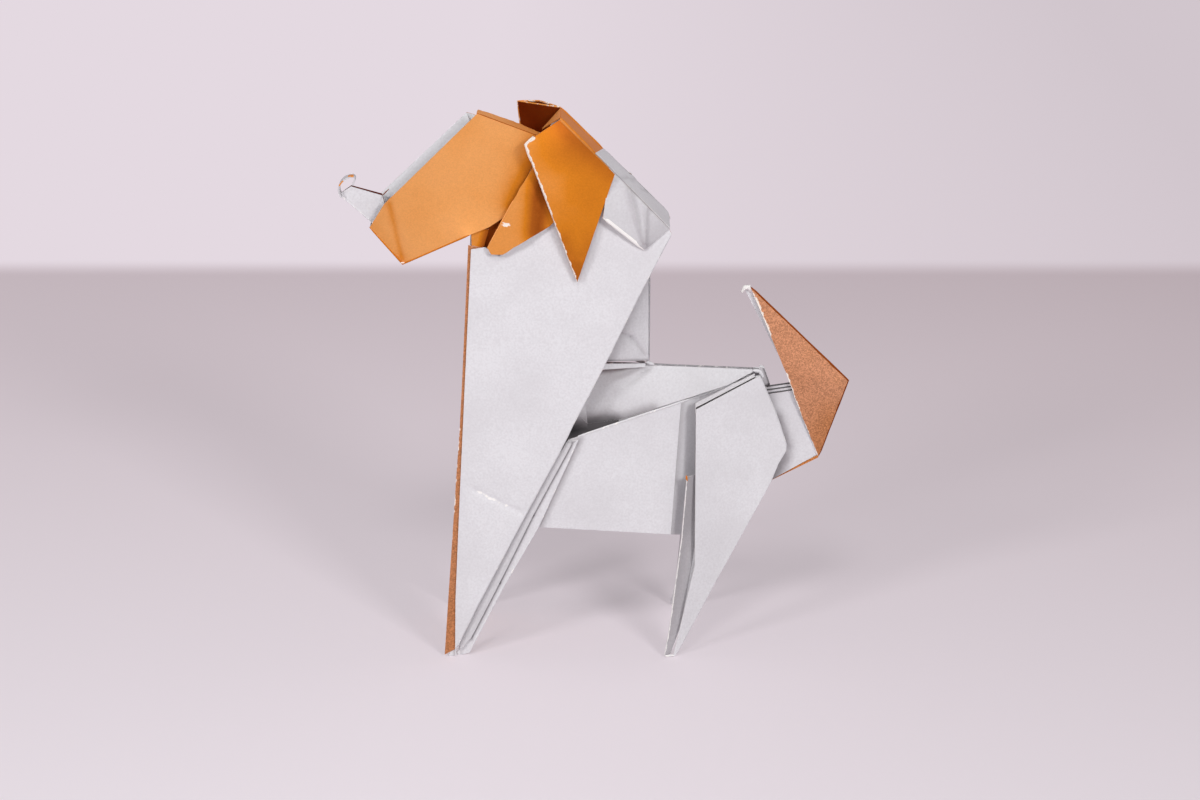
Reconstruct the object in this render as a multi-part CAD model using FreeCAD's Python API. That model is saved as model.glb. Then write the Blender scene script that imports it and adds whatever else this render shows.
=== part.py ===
import FreeCAD, Part
import math
import os

# A dog folded from one square sheet of paper, in millimetres.
# X runs from the nose to the tail, Y across the dog and Z up from the table. While the sheet is
# being folded, x is measured from the tips of the front feet, and half widths are measured
# from the middle plane. Each flat of the sheet is a thin plate, and each fold is a round bead.
# A size that ends in _x is measured towards the tail and one that ends in _drop downwards: on
# the head, the neck and the ears from the front end of the crest, and on the haunch and the
# tail from the rump.

# The sheet
paper = 0.2                  # thickness of the sheet
ply_pitch = 0.32             # from one ply to the next where the sheet lies folded on itself
foot_trim = 0.6              # what the blunt tips of the feet lose
fold_bulge = 0.06            # how far the back of a fold stands out past the plies
fold_sides = 8               # flats around the back of a fold

# Stance
stride = 35.3                # front feet to hind feet
foot_half_gap = 10.0         # middle plane to the tip of a foot
toe_width = 1.0              # blunt end of the outer ply of a foot
pad_height = 0.8             # the pressed tip of a foot

# Neck and crest: the narrow strip along the top of the neck
crest_height = 88.0
crest_half_width = 2.8
crest_front = 17.4
crest_drop = 17.3            # from the front end of the crest down to its back end
crest_run = 16.8             # from the front end of the crest back to its back end
brow_drop = 2.6              # small facet that closes the front of the crest
brow_reach = 2.9

# Chest and front leg: one long triangle on each side, point down
chest_drop = 20.6
chest_front = 3.4
notch_front = 7.0            # where the top edge of the chest goes in under the cheek
shoulder_x = 17.4
shoulder_drop = 18.1
leg_back_high = 25.1
leg_back_high_z = 49.1
leg_back_low = 11.3
leg_back_low_z = 23.8

# Second ply of the front leg, which shows its other face along the front edge
strip_toe = 1.6              # how far it stands out in front at the toe
strip_low = 1.3
strip_low_z = 17.8
strip_high = 0.35
strip_high_z = 47.5
strip_top = 0.6
strip_top_drop = 17.5

# Third and fourth plies, which show as two strips along the back edge of the front leg
third_toe = 0.9
fourth_toe = 1.9
third_step = 1.9             # how far the third ply stands out behind the outer one
fourth_step = 1.7            # and the fourth behind the third
elbow_height = 36.7          # the top of both strips, where the side of the body starts
elbow_back = 20.0
elbow_depth = 11.0           # how far both plies reach in front of the elbow

# Body
spine_height = 47.2
spine_front = 20.5
rump_back = 48.9
rump_height = 46.0
rump_half_width = 0.9
belly_height = 21.6
belly_front = 13.9
belly_back = 8.4             # behind the hind foot
belly_back_height = 18.6
belly_half_width = 4.4       # at the back end of the belly edge
pocket_depth = 3.8           # from the top edge of the side down to where the back meets it

# Ply that closes the neck behind, with its fold upright on the middle plane
fin_x = 13.9
fin_drop = 18.8
fin_front = 21.0
fin_sink = 0.1               # from the spine down to the foot of the upright fold
fin_rise = 1.8               # from the spine up to the front end of the lower edge

# Hind leg
thigh_half_width = 1.4       # at the rump
thigh_corner_x = -10.2
thigh_corner_drop = 5.0
thigh_corner_half_width = 5.2
haunch_x = 4.1
haunch_high_drop = 8.8
haunch_low_drop = 12.6
haunch_under_x = 2.1
haunch_under_drop = 18.8
shin_front = 2.8             # this size and the four below are measured back from the foot
shank_back = 6.9
lining_top = 2.1             # inner ply, which shows in front of the shin
lining_front = 1.3
shin_front_z = 13.0
shank_back_z = 12.0
lining_top_z = 29.9
lining_top_half_width = 5.0
lining_front_z = 19.7
lining_step = 1.2            # from the outer ply to the inner one along the back fold

# Tail
tail_tip_x = -1.5
tail_tip_drop = -13.6
tail_corner_x = 14.3
tail_corner_drop = 2.0
tail_low_x = 9.9
tail_low_drop = 14.9
tail_edge_x = 4.3
tail_edge_drop = 0.3
tail_edge_low_x = 6.5
tail_edge_low_drop = 6.4
tail_gape = 1.3              # half the gap between the tail's free edges
tail_fold_half_width = 0.25
tail_slip = 1.1              # how far the far ply's tip lies in front of the near one's
root_top_x = 1.5
root_top_drop = 3.4
root_bottom_x = 1.9
root_bottom_drop = 19.2
root_half_width = 0.6

# Head
chin_x = -25.0
chin_drop = 24.2
chin_half_width = 0.5
muzzle_end_x = -30.0
muzzle_end_drop = 18.1
muzzle_end_half_width = 1.0
muzzle_lip_x = -27.6
muzzle_lip_drop = 14.1
muzzle_lip_half_width = 2.6
forehead_x = -12.8
forehead_drop = -0.6
forehead_half_width = 2.6
jaw_x = -14.2
jaw_drop = 18.4
jaw_half_width = 4.9
jaw_corner_x = -9.1
jaw_corner_drop = 15.8
head_back_x = -4.9
head_back_drop = 8.5
poll_x = -1.9
poll_drop = 2.3
poll_half_width = 3.9
head_slip = 1.2              # how far the far side of the head lies in front of the near one

# Nose: the turned-up point of the sheet, with a curled tip
nose_tip_x = -34.7
nose_tip_drop = 13.0
nose_root_x = -28.0
nose_root_drop = 13.1
nose_top_x = -32.8
nose_top_drop = 11.7
nose_keel_x = -29.6          # where the nose goes in between the sides of the muzzle
nose_keel_drop = 17.7
nose_half_width = 0.7
curl_radius = 1.2
curl_sweep = 200.0           # degrees

# Cheek and collar: two flaps that lie on the sides of the neck
cheek_front_x = -11.4
cheek_front_drop = 20.1
cheek_bottom_x = -9.1
cheek_bottom_drop = 21.2
cheek_back_x = -1.7
cheek_back_drop = 16.8
cheek_lift = 0.6             # from the chest out to the bottom corner of the cheek
collar_front_x = 6.6
collar_front_drop = 15.0
collar_bottom_x = 13.0
collar_bottom_drop = 20.5
collar_lift = 1.6            # from the second ply out to the front corner of the collar
collar_share = 0.45          # where along the crest the collar starts
collar_hem = 0.8             # from the second ply out to the bottom corner of the collar

# Ears
ear_left_x = -5.4
ear_left_drop = 4.0
ear_left_half_width = 6.0
ear_right_x = 8.3
ear_right_drop = 8.9
ear_right_half_width = 4.2
ear_tip_x = 2.7
ear_tip_drop = 25.1
ear_tip_half_width = 6.2
far_ear_left_x = -6.7
far_ear_left_drop = -0.4
far_ear_left_half_width = 5.5
far_ear_right_x = 5.6
far_ear_tip_x = -4.0
far_ear_tip_drop = 25.8
far_ear_mouth = 2.0          # how far the two plies of the far ear stand apart at the top


def point(x, y, z):
    return FreeCAD.Vector(x, y, z)


def neck_place(x, drop):
    """x and z of a place that is measured from the front end of the crest."""
    return crest_front + x, crest_height - drop


def rump_place(x, drop):
    """x and z of a place that is measured from the rump."""
    return rump_back + x, rump_height - drop


def off_middle(place, half_width):
    """The point at a place, so far from the middle plane."""
    return point(place[0], half_width, place[1])


def on_plane(a, b, c, x, z):
    """The point over (x, z) on the plane through a, b and c."""
    normal = (b - a).cross(c - a)
    y = a.y - (normal.x * (x - a.x) + normal.z * (z - a.z)) / normal.y
    return point(x, y, z)


def plate(*corners):
    """A flat of the sheet: its outline, with half the paper on each side."""
    face = Part.Face(Part.makePolygon(list(corners) + [corners[0]]))
    normal = face.normalAt(0, 0)
    face.translate(normal * (-paper / 2))
    return face.extrude(normal * paper)


def fold(*corners, plies=1, spread=0.0):
    """The round back of a fold along a run of corners, around one ply or more."""
    radius = paper / 2 + (plies - 1) * ply_pitch / 2 + fold_bulge + spread
    beads = []
    for start, end in zip(corners, corners[1:]):
        run = end - start
        turn = FreeCAD.Rotation(FreeCAD.Vector(0, 0, 1), run)
        ring = []
        for step in range(fold_sides + 1):
            angle = math.radians(360 * (step + 0.5) / fold_sides)
            spoke = point(radius * math.cos(angle), radius * math.sin(angle), 0)
            ring.append(start + turn.multVec(spoke))
        beads.append(Part.Face(Part.makePolygon(ring)).extrude(run))
    return beads


def foot_pad(x, outer, inner):
    """The blunt tip of a foot, where its outer and inner plies are pressed together."""
    corner = point(x - toe_width / 2, min(outer, inner) - paper / 2, 0)
    return Part.makeBox(1.5 * toe_width, abs(outer - inner) + paper, pad_height, corner)


def side_half_width(z):
    """Half width of the tent that the second plies make, from the feet up to the crest."""
    return foot_half_gap - (foot_half_gap - crest_half_width) * z / crest_height


def flank(side, x, z, layer=0.0):
    """A point on a side of the tent, so many plies out from the second ply."""
    return point(x, side * (side_half_width(z) + layer * ply_pitch), z)


def crest_line(side, share, layer=0.0):
    """A point along one edge of the crest, from 0 at its front end to 1 at its back end."""
    return flank(side, crest_front + share * crest_run, crest_height - share * crest_drop, layer)


def front_leg(side):
    """Chest and front leg: four plies, one inside the other."""
    toe_z = -foot_trim
    chest_top = crest_height - chest_drop
    outline = [(0.0, toe_z), (chest_front, chest_top), (notch_front, chest_top)]
    outer = [flank(side, x, z, 1) for x, z in outline]
    outer += [crest_line(side, collar_share, 1), crest_line(side, 1.0, 1)]
    back_edge = [neck_place(shoulder_x, shoulder_drop), (leg_back_high, leg_back_high_z),
                 (leg_back_low, leg_back_low_z), (toe_width, toe_z)]
    outer += [flank(side, x, z, 1) for x, z in back_edge]
    second = [flank(side, -strip_toe, toe_z)]
    second.append(flank(side, -strip_low + chest_front * strip_low_z / chest_top, strip_low_z))
    second.append(flank(side, -strip_high + chest_front * strip_high_z / chest_top, strip_high_z))
    second.append(flank(side, -strip_top + chest_front, crest_height - strip_top_drop))
    second += [crest_line(side, 0.0), crest_line(side, 1.0)]
    second += [flank(side, x, z) for x, z in back_edge]
    elbow = flank(side, elbow_back, elbow_height, -2)
    belly = flank(side, belly_front, belly_height, -2)
    fourth = [elbow, belly, flank(side, fourth_toe, toe_z, -2)]
    fourth.append(flank(side, elbow_back - elbow_depth, elbow_height, -2))
    knee = leg_back_low + third_step
    third = [flank(side, elbow_back - fourth_step, elbow_height, -1)]
    third.append(flank(side, knee, leg_back_low_z, -1))
    third.append(flank(side, third_toe, toe_z, -1))
    third.append(flank(side, elbow_back - elbow_depth, elbow_height, -1))
    solids = [plate(*outer), plate(*second), plate(*third), plate(*fourth)]
    solids += fold(*[flank(side, x, z, 0.5) for x, z in back_edge], plies=2)
    inner_top = flank(side, elbow_back - elbow_depth, elbow_height, -1.5)
    solids += fold(inner_top, flank(side, third_toe, toe_z, -1.5), plies=2)
    solids.append(foot_pad(0.0, flank(side, 0.0, 0.0, 1).y, flank(side, 0.0, 0.0, -2).y))
    solids += fold(elbow, belly)
    return solids


def body(side):
    """Back and side of the body, up to the rump."""
    elbow = flank(side, elbow_back, elbow_height, -2)
    belly = flank(side, belly_front, belly_height, -2)
    belly_end = point(stride + belly_back, side * belly_half_width, belly_back_height)
    rump = point(rump_back, side * rump_half_width, rump_height - rump_half_width)
    spine = [point(spine_front, 0, spine_height), point(rump_back, 0, rump_height)]
    seat = flank(side, elbow_back - pocket_depth / 2, elbow_height - pocket_depth, -2.6)
    solids = [plate(elbow, rump, belly_end), plate(elbow, belly_end, belly)]
    solids.append(plate(spine[0], spine[1], seat))
    solids += fold(elbow, rump)
    solids += fold(seat, spine[1])
    return solids


def fin(side):
    """One side of the ply that closes the neck behind."""
    top = off_middle(neck_place(fin_x, fin_drop), 0)
    bottom = point(top.x, 0, spine_height - fin_sink)
    front_top = flank(side, fin_front, top.z)
    front_bottom = flank(side, fin_front, spine_height + fin_rise)
    solids = [plate(bottom, top, front_bottom), plate(top, front_top, front_bottom)]
    solids += fold(front_top, front_bottom)
    solids.append(plate(crest_line(side, 1.0), top, front_top))
    solids += fold(crest_line(side, 1.0), top)
    return solids


def hind_leg(side):
    """Outer kite of the hind leg and its inner ply, folded along the back edge."""
    rump = point(rump_back, side * thigh_half_width, rump_height - thigh_half_width / 2)
    corner = off_middle(rump_place(thigh_corner_x, thigh_corner_drop), side * thigh_corner_half_width)
    foot = point(stride, side * foot_half_gap, 0)
    haunch_high = rump_place(haunch_x, haunch_high_drop)
    haunch_low = rump_place(haunch_x, haunch_low_drop)
    haunch_under = rump_place(haunch_under_x, haunch_under_drop)
    shank = (stride + shank_back, shank_back_z)

    def outer(x, z):
        return on_plane(rump, corner, foot, x, z)

    back_edge = [rump, outer(*haunch_high), outer(*haunch_low), outer(*haunch_under),
                 outer(*shank), outer(stride + toe_width / 2, -foot_trim)]
    front_edge = [outer(stride - toe_width / 2, -foot_trim),
                  outer(stride + shin_front, shin_front_z), corner]
    inside = FreeCAD.Vector(0, -side * lining_step, 0)
    lining_corner = point(stride + lining_top, side * lining_top_half_width, lining_top_z)
    hinge = outer(*haunch_high) + inside / 2
    sole = foot + inside / 2

    def inner(x, z):
        return on_plane(lining_corner, hinge, sole, x, z)

    lining = [lining_corner, inner(*haunch_high), inner(*haunch_low), inner(*haunch_under),
              inner(*shank), inner(stride, -foot_trim), inner(stride - toe_width, -foot_trim),
              inner(stride + lining_front, lining_front_z)]
    solids = [plate(*(back_edge + front_edge)), plate(*lining)]
    for high, low in zip(back_edge[1:], back_edge[2:]):
        middle_high = (high + inner(high.x, high.z)) / 2
        middle_low = (low + inner(low.x, low.z)) / 2
        solids += fold(middle_high, middle_low, plies=2, spread=lining_step / 8)
    solids += fold(point(rump_back, 0, rump_height), rump, spread=0.3)
    solids.append(foot_pad(stride, foot.y, sole.y))
    return solids


def tail(side):
    """One ply of the tail and the root that carries it."""
    slip = tail_slip if side > 0 else 0.0
    fold_width = side * tail_fold_half_width
    tip = off_middle(rump_place(tail_tip_x - slip, tail_tip_drop), fold_width)
    corner = off_middle(rump_place(tail_corner_x, tail_corner_drop), fold_width)
    low = off_middle(rump_place(tail_low_x, tail_low_drop), fold_width)
    edge = off_middle(rump_place(tail_edge_x, tail_edge_drop), side * tail_gape)
    edge_low = on_plane(corner, low, edge, *rump_place(tail_edge_low_x, tail_edge_low_drop))
    rump = off_middle(rump_place(0, rump_half_width), side * rump_half_width / 2)
    top = off_middle(rump_place(root_top_x, root_top_drop), side * root_half_width)
    bottom = off_middle(rump_place(root_bottom_x, root_bottom_drop), side * root_half_width)
    solids = [plate(tip, corner, edge), plate(edge, corner, low, edge_low)]
    solids += [plate(rump, top, bottom), plate(top, corner, low), plate(top, low, bottom)]
    solids += fold(rump, top)
    return solids


def head(side):
    """One side of the head, open along the top, with the cheek behind it."""
    slip = head_slip if side > 0 else 0.0
    chin = off_middle(neck_place(chin_x, chin_drop), side * chin_half_width)
    end = off_middle(neck_place(muzzle_end_x, muzzle_end_drop), side * muzzle_end_half_width)
    lip_width = side * muzzle_lip_half_width
    lip = off_middle(neck_place(muzzle_lip_x - slip, muzzle_lip_drop), lip_width)
    brow_width = side * forehead_half_width
    brow = off_middle(neck_place(forehead_x - slip, forehead_drop + slip / 2), brow_width)
    jaw = off_middle(neck_place(jaw_x, jaw_drop), side * jaw_half_width)
    poll = off_middle(neck_place(poll_x, poll_drop), side * poll_half_width)
    corner = on_plane(brow, jaw, poll, *neck_place(jaw_corner_x, jaw_corner_drop))
    back = on_plane(brow, jaw, poll, *neck_place(head_back_x, head_back_drop))
    solids = [plate(chin, end, lip), plate(chin, lip, brow), plate(chin, brow, jaw)]
    solids.append(plate(brow, jaw, corner, back, poll))
    solids.append(plate(poll, back, crest_line(side, 0.0)))
    solids += fold(end, chin, jaw)
    return solids


def nose(side):
    """One ply of the nose, folded along its lower edge."""
    tip = off_middle(neck_place(nose_tip_x, nose_tip_drop), 0)
    keel = off_middle(neck_place(nose_keel_x, nose_keel_drop), 0)
    chin = off_middle(neck_place(chin_x, chin_drop), 0)
    root = off_middle(neck_place(nose_root_x, nose_root_drop), side * nose_half_width)
    top = on_plane(tip, keel, root, *neck_place(nose_top_x, nose_top_drop))
    return [plate(tip, keel, root, top), plate(keel, chin, root)]


def neck_flaps(side):
    """Cheek and collar, each hung from the edge of the crest."""
    crest_start = crest_line(side, 0.0, 1)
    low_layer = 1 + cheek_lift / ply_pitch
    low = flank(side, *neck_place(cheek_bottom_x, cheek_bottom_drop), low_layer)
    crest_end = crest_line(side, collar_share, 1)

    def cheek(x, drop):
        return on_plane(crest_start, low, crest_end, *neck_place(x, drop))

    solids = [plate(crest_start, cheek(cheek_front_x, cheek_front_drop), low,
                    cheek(cheek_back_x, cheek_back_drop), crest_end)]
    front_place = neck_place(collar_front_x, collar_front_drop)
    front = flank(side, *front_place, collar_lift / ply_pitch)
    bottom_place = neck_place(collar_bottom_x, collar_bottom_drop)
    bottom = flank(side, *bottom_place, collar_hem / ply_pitch)
    hem_start = crest_line(side, collar_share, 2)
    solids.append(plate(hem_start, front, bottom))
    solids.append(plate(hem_start, bottom, crest_line(side, 1.0, 2)))
    return solids


def near_ear(side):
    """Kite of the near ear, with a soft fold from its top to its tip."""
    top = crest_line(side, 0.0, 2.2)
    left = off_middle(neck_place(ear_left_x, ear_left_drop), side * ear_left_half_width)
    right = off_middle(neck_place(ear_right_x, ear_right_drop), side * ear_right_half_width)
    tip = off_middle(neck_place(ear_tip_x, ear_tip_drop), side * ear_tip_half_width)
    return [plate(top, left, tip), plate(top, tip, right)]


def far_ear(side):
    """The far ear is turned up a little, and its two plies gape at the top."""
    top = crest_line(side, 0.0, 2.2)
    left_width = side * far_ear_left_half_width
    left = off_middle(neck_place(far_ear_left_x, far_ear_left_drop), left_width)
    right = off_middle(neck_place(far_ear_right_x, ear_right_drop), side * ear_right_half_width)
    tip = off_middle(neck_place(far_ear_tip_x, far_ear_tip_drop), side * ear_tip_half_width)
    middle = (top + left) / 2 + point(0, side * far_ear_mouth, 0)
    solids = [plate(top, left, tip), plate(top, tip, right)]
    solids += [plate(middle, left, tip), plate(top, middle, tip)]
    solids += fold(left, tip)
    return solids


def middle_parts():
    """Crest, brow, spine and the folds that lie on the middle plane."""
    front = [crest_line(side, 0.0) for side in (-1, 1)]
    back = [crest_line(side, 1.0) for side in (-1, 1)]
    brow = point(crest_front - brow_reach, 0, crest_height - brow_drop)
    solids = [plate(front[0], front[1], back[1]), plate(front[0], back[1], back[0])]
    solids.append(plate(front[0], front[1], brow))
    solids += fold(front[0], front[1])
    for side in (-1, 1):
        solids += fold(crest_line(side, 0.0, 1), crest_line(side, 1.0, 1), plies=3)
    solids += fold(point(spine_front, 0, spine_height), point(rump_back, 0, rump_height))
    fin_top = off_middle(neck_place(fin_x, fin_drop), 0)
    solids += fold(point(fin_top.x, 0, spine_height - fin_sink), fin_top)
    tail_places = [rump_place(tail_tip_x, tail_tip_drop), rump_place(tail_corner_x, tail_corner_drop),
                   rump_place(tail_low_x, tail_low_drop), rump_place(root_bottom_x, root_bottom_drop)]
    solids += fold(*[off_middle(place, 0) for place in tail_places], plies=2)
    nose_places = [neck_place(nose_tip_x, nose_tip_drop), neck_place(nose_keel_x, nose_keel_drop),
                   neck_place(chin_x, chin_drop)]
    solids += fold(*[off_middle(place, 0) for place in nose_places])
    chin_ends = [off_middle(nose_places[2], side * chin_half_width) for side in (-1, 1)]
    solids += fold(*chin_ends, spread=0.3)
    return solids


def nose_curl():
    """The curled tip of the nose, a strip rolled over from the point."""
    tip_x, tip_z = neck_place(nose_tip_x, nose_tip_drop)
    centre = point(tip_x + curl_radius, -nose_half_width, tip_z + curl_radius)
    across = point(0, 1, 0)
    outer = Part.makeCylinder(curl_radius, 2 * nose_half_width, centre, across, curl_sweep)
    bore = Part.makeCylinder(curl_radius - paper, 2 * nose_half_width, centre, across)
    curl = outer.cut(bore)
    curl.rotate(centre, across, -95.0)
    return [curl]


def folded_sheet():
    """The whole sheet, joined region by region and set on the middle of its own footprint."""
    regions = [middle_parts(), nose_curl(), near_ear(-1), far_ear(1)]
    for side in (-1, 1):
        for region in (front_leg, body, fin, hind_leg, tail, head, nose, neck_flaps):
            regions.append(region(side))
    sheet = None
    for solids in regions:
        joined = solids[0].fuse(solids[1:]) if len(solids) > 1 else solids[0]
        sheet = sheet.fuse(joined) if sheet else joined
    span = sheet.BoundBox
    table = Part.makeBox(span.XLength, span.YLength, foot_trim - span.ZMin,
                         point(span.XMin, span.YMin, span.ZMin - foot_trim))
    sheet = sheet.cut(table)
    centre = sheet.BoundBox.Center
    sheet.translate(point(-centre.x, -centre.y, 0))
    return sheet


os.makedirs("parts", exist_ok=True)
folded_sheet().exportStep("parts/folded_sheet.step")
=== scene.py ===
import math
import bpy
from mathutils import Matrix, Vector, noise
from mathutils.geometry import delaunay_2d_cdt


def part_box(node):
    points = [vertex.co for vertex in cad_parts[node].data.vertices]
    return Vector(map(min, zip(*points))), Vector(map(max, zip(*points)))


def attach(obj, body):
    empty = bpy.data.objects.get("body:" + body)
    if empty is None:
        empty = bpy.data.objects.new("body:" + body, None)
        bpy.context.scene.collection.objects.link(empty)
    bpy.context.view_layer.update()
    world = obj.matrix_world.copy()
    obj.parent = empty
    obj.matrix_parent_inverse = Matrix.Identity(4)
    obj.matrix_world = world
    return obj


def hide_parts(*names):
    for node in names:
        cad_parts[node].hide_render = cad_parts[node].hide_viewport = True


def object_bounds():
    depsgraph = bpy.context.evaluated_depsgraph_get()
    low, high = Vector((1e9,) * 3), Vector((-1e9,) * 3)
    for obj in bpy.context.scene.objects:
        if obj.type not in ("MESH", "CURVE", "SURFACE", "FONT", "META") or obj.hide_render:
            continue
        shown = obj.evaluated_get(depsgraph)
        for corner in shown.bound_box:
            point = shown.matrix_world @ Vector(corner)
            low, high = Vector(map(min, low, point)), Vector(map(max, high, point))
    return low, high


# A dog folded from one square of paper, pearl white on one side and copper on the other.
# The folding is worked out in millimetres: x runs from the tips of the front feet towards the
# tail, y from the middle plane (the near side is negative) and z up from the table. The mesh is
# turned into metres and set in the frame when it is made.

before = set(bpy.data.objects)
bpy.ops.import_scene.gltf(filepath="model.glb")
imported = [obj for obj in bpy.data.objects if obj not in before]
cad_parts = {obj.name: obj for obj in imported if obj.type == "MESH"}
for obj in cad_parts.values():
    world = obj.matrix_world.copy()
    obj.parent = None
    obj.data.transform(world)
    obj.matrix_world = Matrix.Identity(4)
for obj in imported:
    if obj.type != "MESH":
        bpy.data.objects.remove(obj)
cadLow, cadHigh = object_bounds()
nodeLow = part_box("folded_sheet")[0]
millimetre = 0.001
print("frame loaded")

paperStock = {
    "thickness": 0.14,
    "plyPitch": 0.32,            # centre to centre where plies lie on each other
    "buckle": 0.26, "buckleLength": 19.0,
    "ripple": 0.05, "rippleLength": 5.0,
    "calmEdge": 4.0, "calmShare": 0.15,   # near an edge the buckles fade out, to this share
    "raggedLength": 0.9,
}
meshing = {
    "step": 1.2, "rowPitch": 0.87, "room": 0.5,      # pitch and room as shares of the step
    "lineStep": 0.6, "lineRoom": 0.1,
    "creaseRows": (-1.6, -0.7, 0, 0.7, 1.6), "wornRows": (-2.0, -1.0, 1.0, 2.0),
    "fineTint": 1.0,             # a tint narrower than this gets rows of its own
    "ease": 0.6, "sharpAngle": 32.0,
}
rolls = {"step": 1.0, "around": 10, "swell": 0.14, "swellLength": 2.3, "endShare": 0.6}
stance = {
    "noseReach": 17.47,          # from the front toes forward to the foremost point
    "footHalfGap": 10.0, "stride": 35.3,
    "crestHeight": 88.0, "crestHalfWidth": 2.8,
    "crestFront": 17.4, "crestRun": 16.8, "crestDrop": 17.3,
}
finishes = {"white": 0, "copper": 1, "core": 2}
sheetMesh = {"points": [], "wear": [], "tone": [], "faces": [], "finish": []}
unworn = -9.0


def at(x, y, z):
    return Vector((x, y, z))


def mirrored(side, place, origin=(0, 0, 0)):
    # a point measured from the origin, with y counted away from the middle plane
    x, y, z = place
    return Vector(origin) + at(x, side * y, z)


def onSide(side, x, z, layer=0.0):
    # a point on a side of the tent that runs from the feet to the crest, so many plies out
    slope = (stance["crestHalfWidth"] - stance["footHalfGap"]) / stance["crestHeight"]
    return at(x, side * (stance["footHalfGap"] + slope * z + layer * paperStock["plyPitch"]), z)


def sideRun(side, places, layer=0.0, shift=(0.0, 0.0)):
    # points on a side, from pairs of x and z
    return [onSide(side, x + shift[0], z + shift[1], layer) for x, z in places]


def onCrest(side, share, layer=0.0):
    # a point along one edge of the crest, from 0 at its front end to 1 at its back end
    x = stance["crestFront"] + share * stance["crestRun"]
    return onSide(side, x, stance["crestHeight"] - share * stance["crestDrop"], layer)


def onPlane(a, b, c, x, z):
    # the point over (x, z) on the plane through a, b and c
    normal = (b - a).cross(c - a)
    return at(x, a.y - (normal.x * (x - a.x) + normal.z * (z - a.z)) / normal.y, z)


def planeRun(a, b, c, places):
    return [onPlane(a, b, c, x, z) for x, z in places]


def levelRun(places, y=0.0):
    # points at one distance from the middle plane
    return [at(x, y, z) for x, z in places]


def along(points, first, second):
    # the same crease, wear or tint on every stretch of a line
    return [(a, b, first, second) for a, b in zip(points, points[1:])]


def newellNormal(corners):
    total = at(0, 0, 0)
    for a, b in zip(corners, corners[1:] + corners[:1]):
        total += a.cross(b)
    return total


def gapToLine(p, a, b):
    run = b - a
    share = max(0.0, min(1.0, (p - a).dot(run) / run.length_squared))
    return (p - a - run * share).length


def bell(p, lines):
    # heights or tints that fall off to both sides of their lines
    return sum(top * math.exp(-((gapToLine(p, a, b) / width) ** 2)) for a, b, top, width in lines)


def edgeRun(a, b, step):
    # points from a up to b, b left out, and the same points whichever way the edge is taken
    first, last = sorted((a, b), key=tuple)
    count = max(1, math.ceil((b - a).length / step))
    run = [first.lerp(last, k / count) for k in range(count + 1)]
    if first != a:
        run.reverse()
    return run[:-1]


def isInside(ring, q):
    inside = False
    for a, b in zip(ring, ring[1:] + ring[:1]):
        if (a.y > q.y) != (b.y > q.y) and q.x < a.x + (q.y - a.y) * (b.x - a.x) / (b.y - a.y):
            inside = not inside
    return inside


def meshFacet(corners, creases, worn, step):
    # triangles over one flat of a ply, with closer points by its creases and worn edges
    normal = newellNormal(corners).normalized()
    across = (corners[1] - corners[0]).normalized()
    upward = normal.cross(across)

    def flat(p):
        return Vector(((p - corners[0]).dot(across), (p - corners[0]).dot(upward)))

    outline = [p for a, b in zip(corners, corners[1:] + corners[:1]) for p in edgeRun(a, b, step)]
    ring = [flat(p) for p in corners]
    sides = list(zip(ring, ring[1:] + ring[:1]))
    trial = []
    row = 0
    y = min(q.y for q in ring)
    while y < max(q.y for q in ring):
        x = min(q.x for q in ring) + (row % 2) * step / 2
        while x < max(q.x for q in ring):
            trial.append((Vector((x, y)), step * meshing["room"]))
            x += step
        y += step * meshing["rowPitch"]
        row += 1
    lines = [(a, b, meshing["creaseRows"], width) for a, b, height, width in creases]
    lines += [(a, b, meshing["wornRows"], width) for a, b, width, peak in worn]
    for start, end, shares, width in lines:
        a, b = flat(start), flat(end)
        if (b - a).length > 0:
            sidestep = Vector((a.y - b.y, b.x - a.x)).normalized()
            count = max(2, math.ceil((b - a).length / meshing["lineStep"]))
            for k in range(count + 1):
                for share in shares:
                    q = a.lerp(b, k / count) + sidestep * share * width
                    trial.append((q, meshing["lineRoom"]))
    inner = [q for q, room in trial
             if isInside(ring, q) and min(gapToLine(q, a, b) for a, b in sides) > room]
    flatPoints = [flat(p) for p in outline] + inner
    made = delaunay_2d_cdt(flatPoints, [], [list(range(len(outline)))], 1, 1e-5)
    points = []
    for q, sources in zip(made[0], made[3]):
        fromRim = [s for s in sources if s < len(outline)]
        points.append(outline[fromRim[0]] if fromRim else corners[0] + across * q.x + upward * q.y)
    return points, made[2]


def addFace(corners, finish):
    sheetMesh["faces"].append(corners)
    sheetMesh["finish"].append(finishes[finish])


def addPoint(p, wear, tone):
    sheetMesh["points"].append(p)
    sheetMesh["wear"].append(wear)
    sheetMesh["tone"].append(tone)
    return len(sheetMesh["points"]) - 1


def joinFacets(facets, outward, creases, worn, step):
    # the flats of a ply as one set of points and triangles, all turned outward
    places, index, triangles = [], {}, []
    for corners in facets:
        if newellNormal(corners).dot(outward) < 0:
            corners = corners[::-1]
        points, faces = meshFacet(corners, creases, worn, step)
        lookup = []
        for p in points:
            key = tuple(round(c, 3) for c in p)
            if key not in index:
                index[key] = len(places)
                places.append(p.copy())
            lookup.append(index[key])
        triangles += [[lookup[k] for k in face] for face in faces]
    normals = [at(0, 0, 0) for p in places]
    openEdges = {}
    for face in triangles:
        normal = (places[face[1]] - places[face[0]]).cross(places[face[2]] - places[face[0]])
        if normal.dot(outward) < 0:
            face.reverse()
            normal.negate()
        for k, corner in enumerate(face):
            normals[corner] += normal
            edge = (corner, face[(k + 1) % 3])
            if edge[::-1] in openEdges:
                openEdges.pop(edge[::-1])
            else:
                openEdges[edge] = True
    return places, triangles, normals, list(openEdges)


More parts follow.
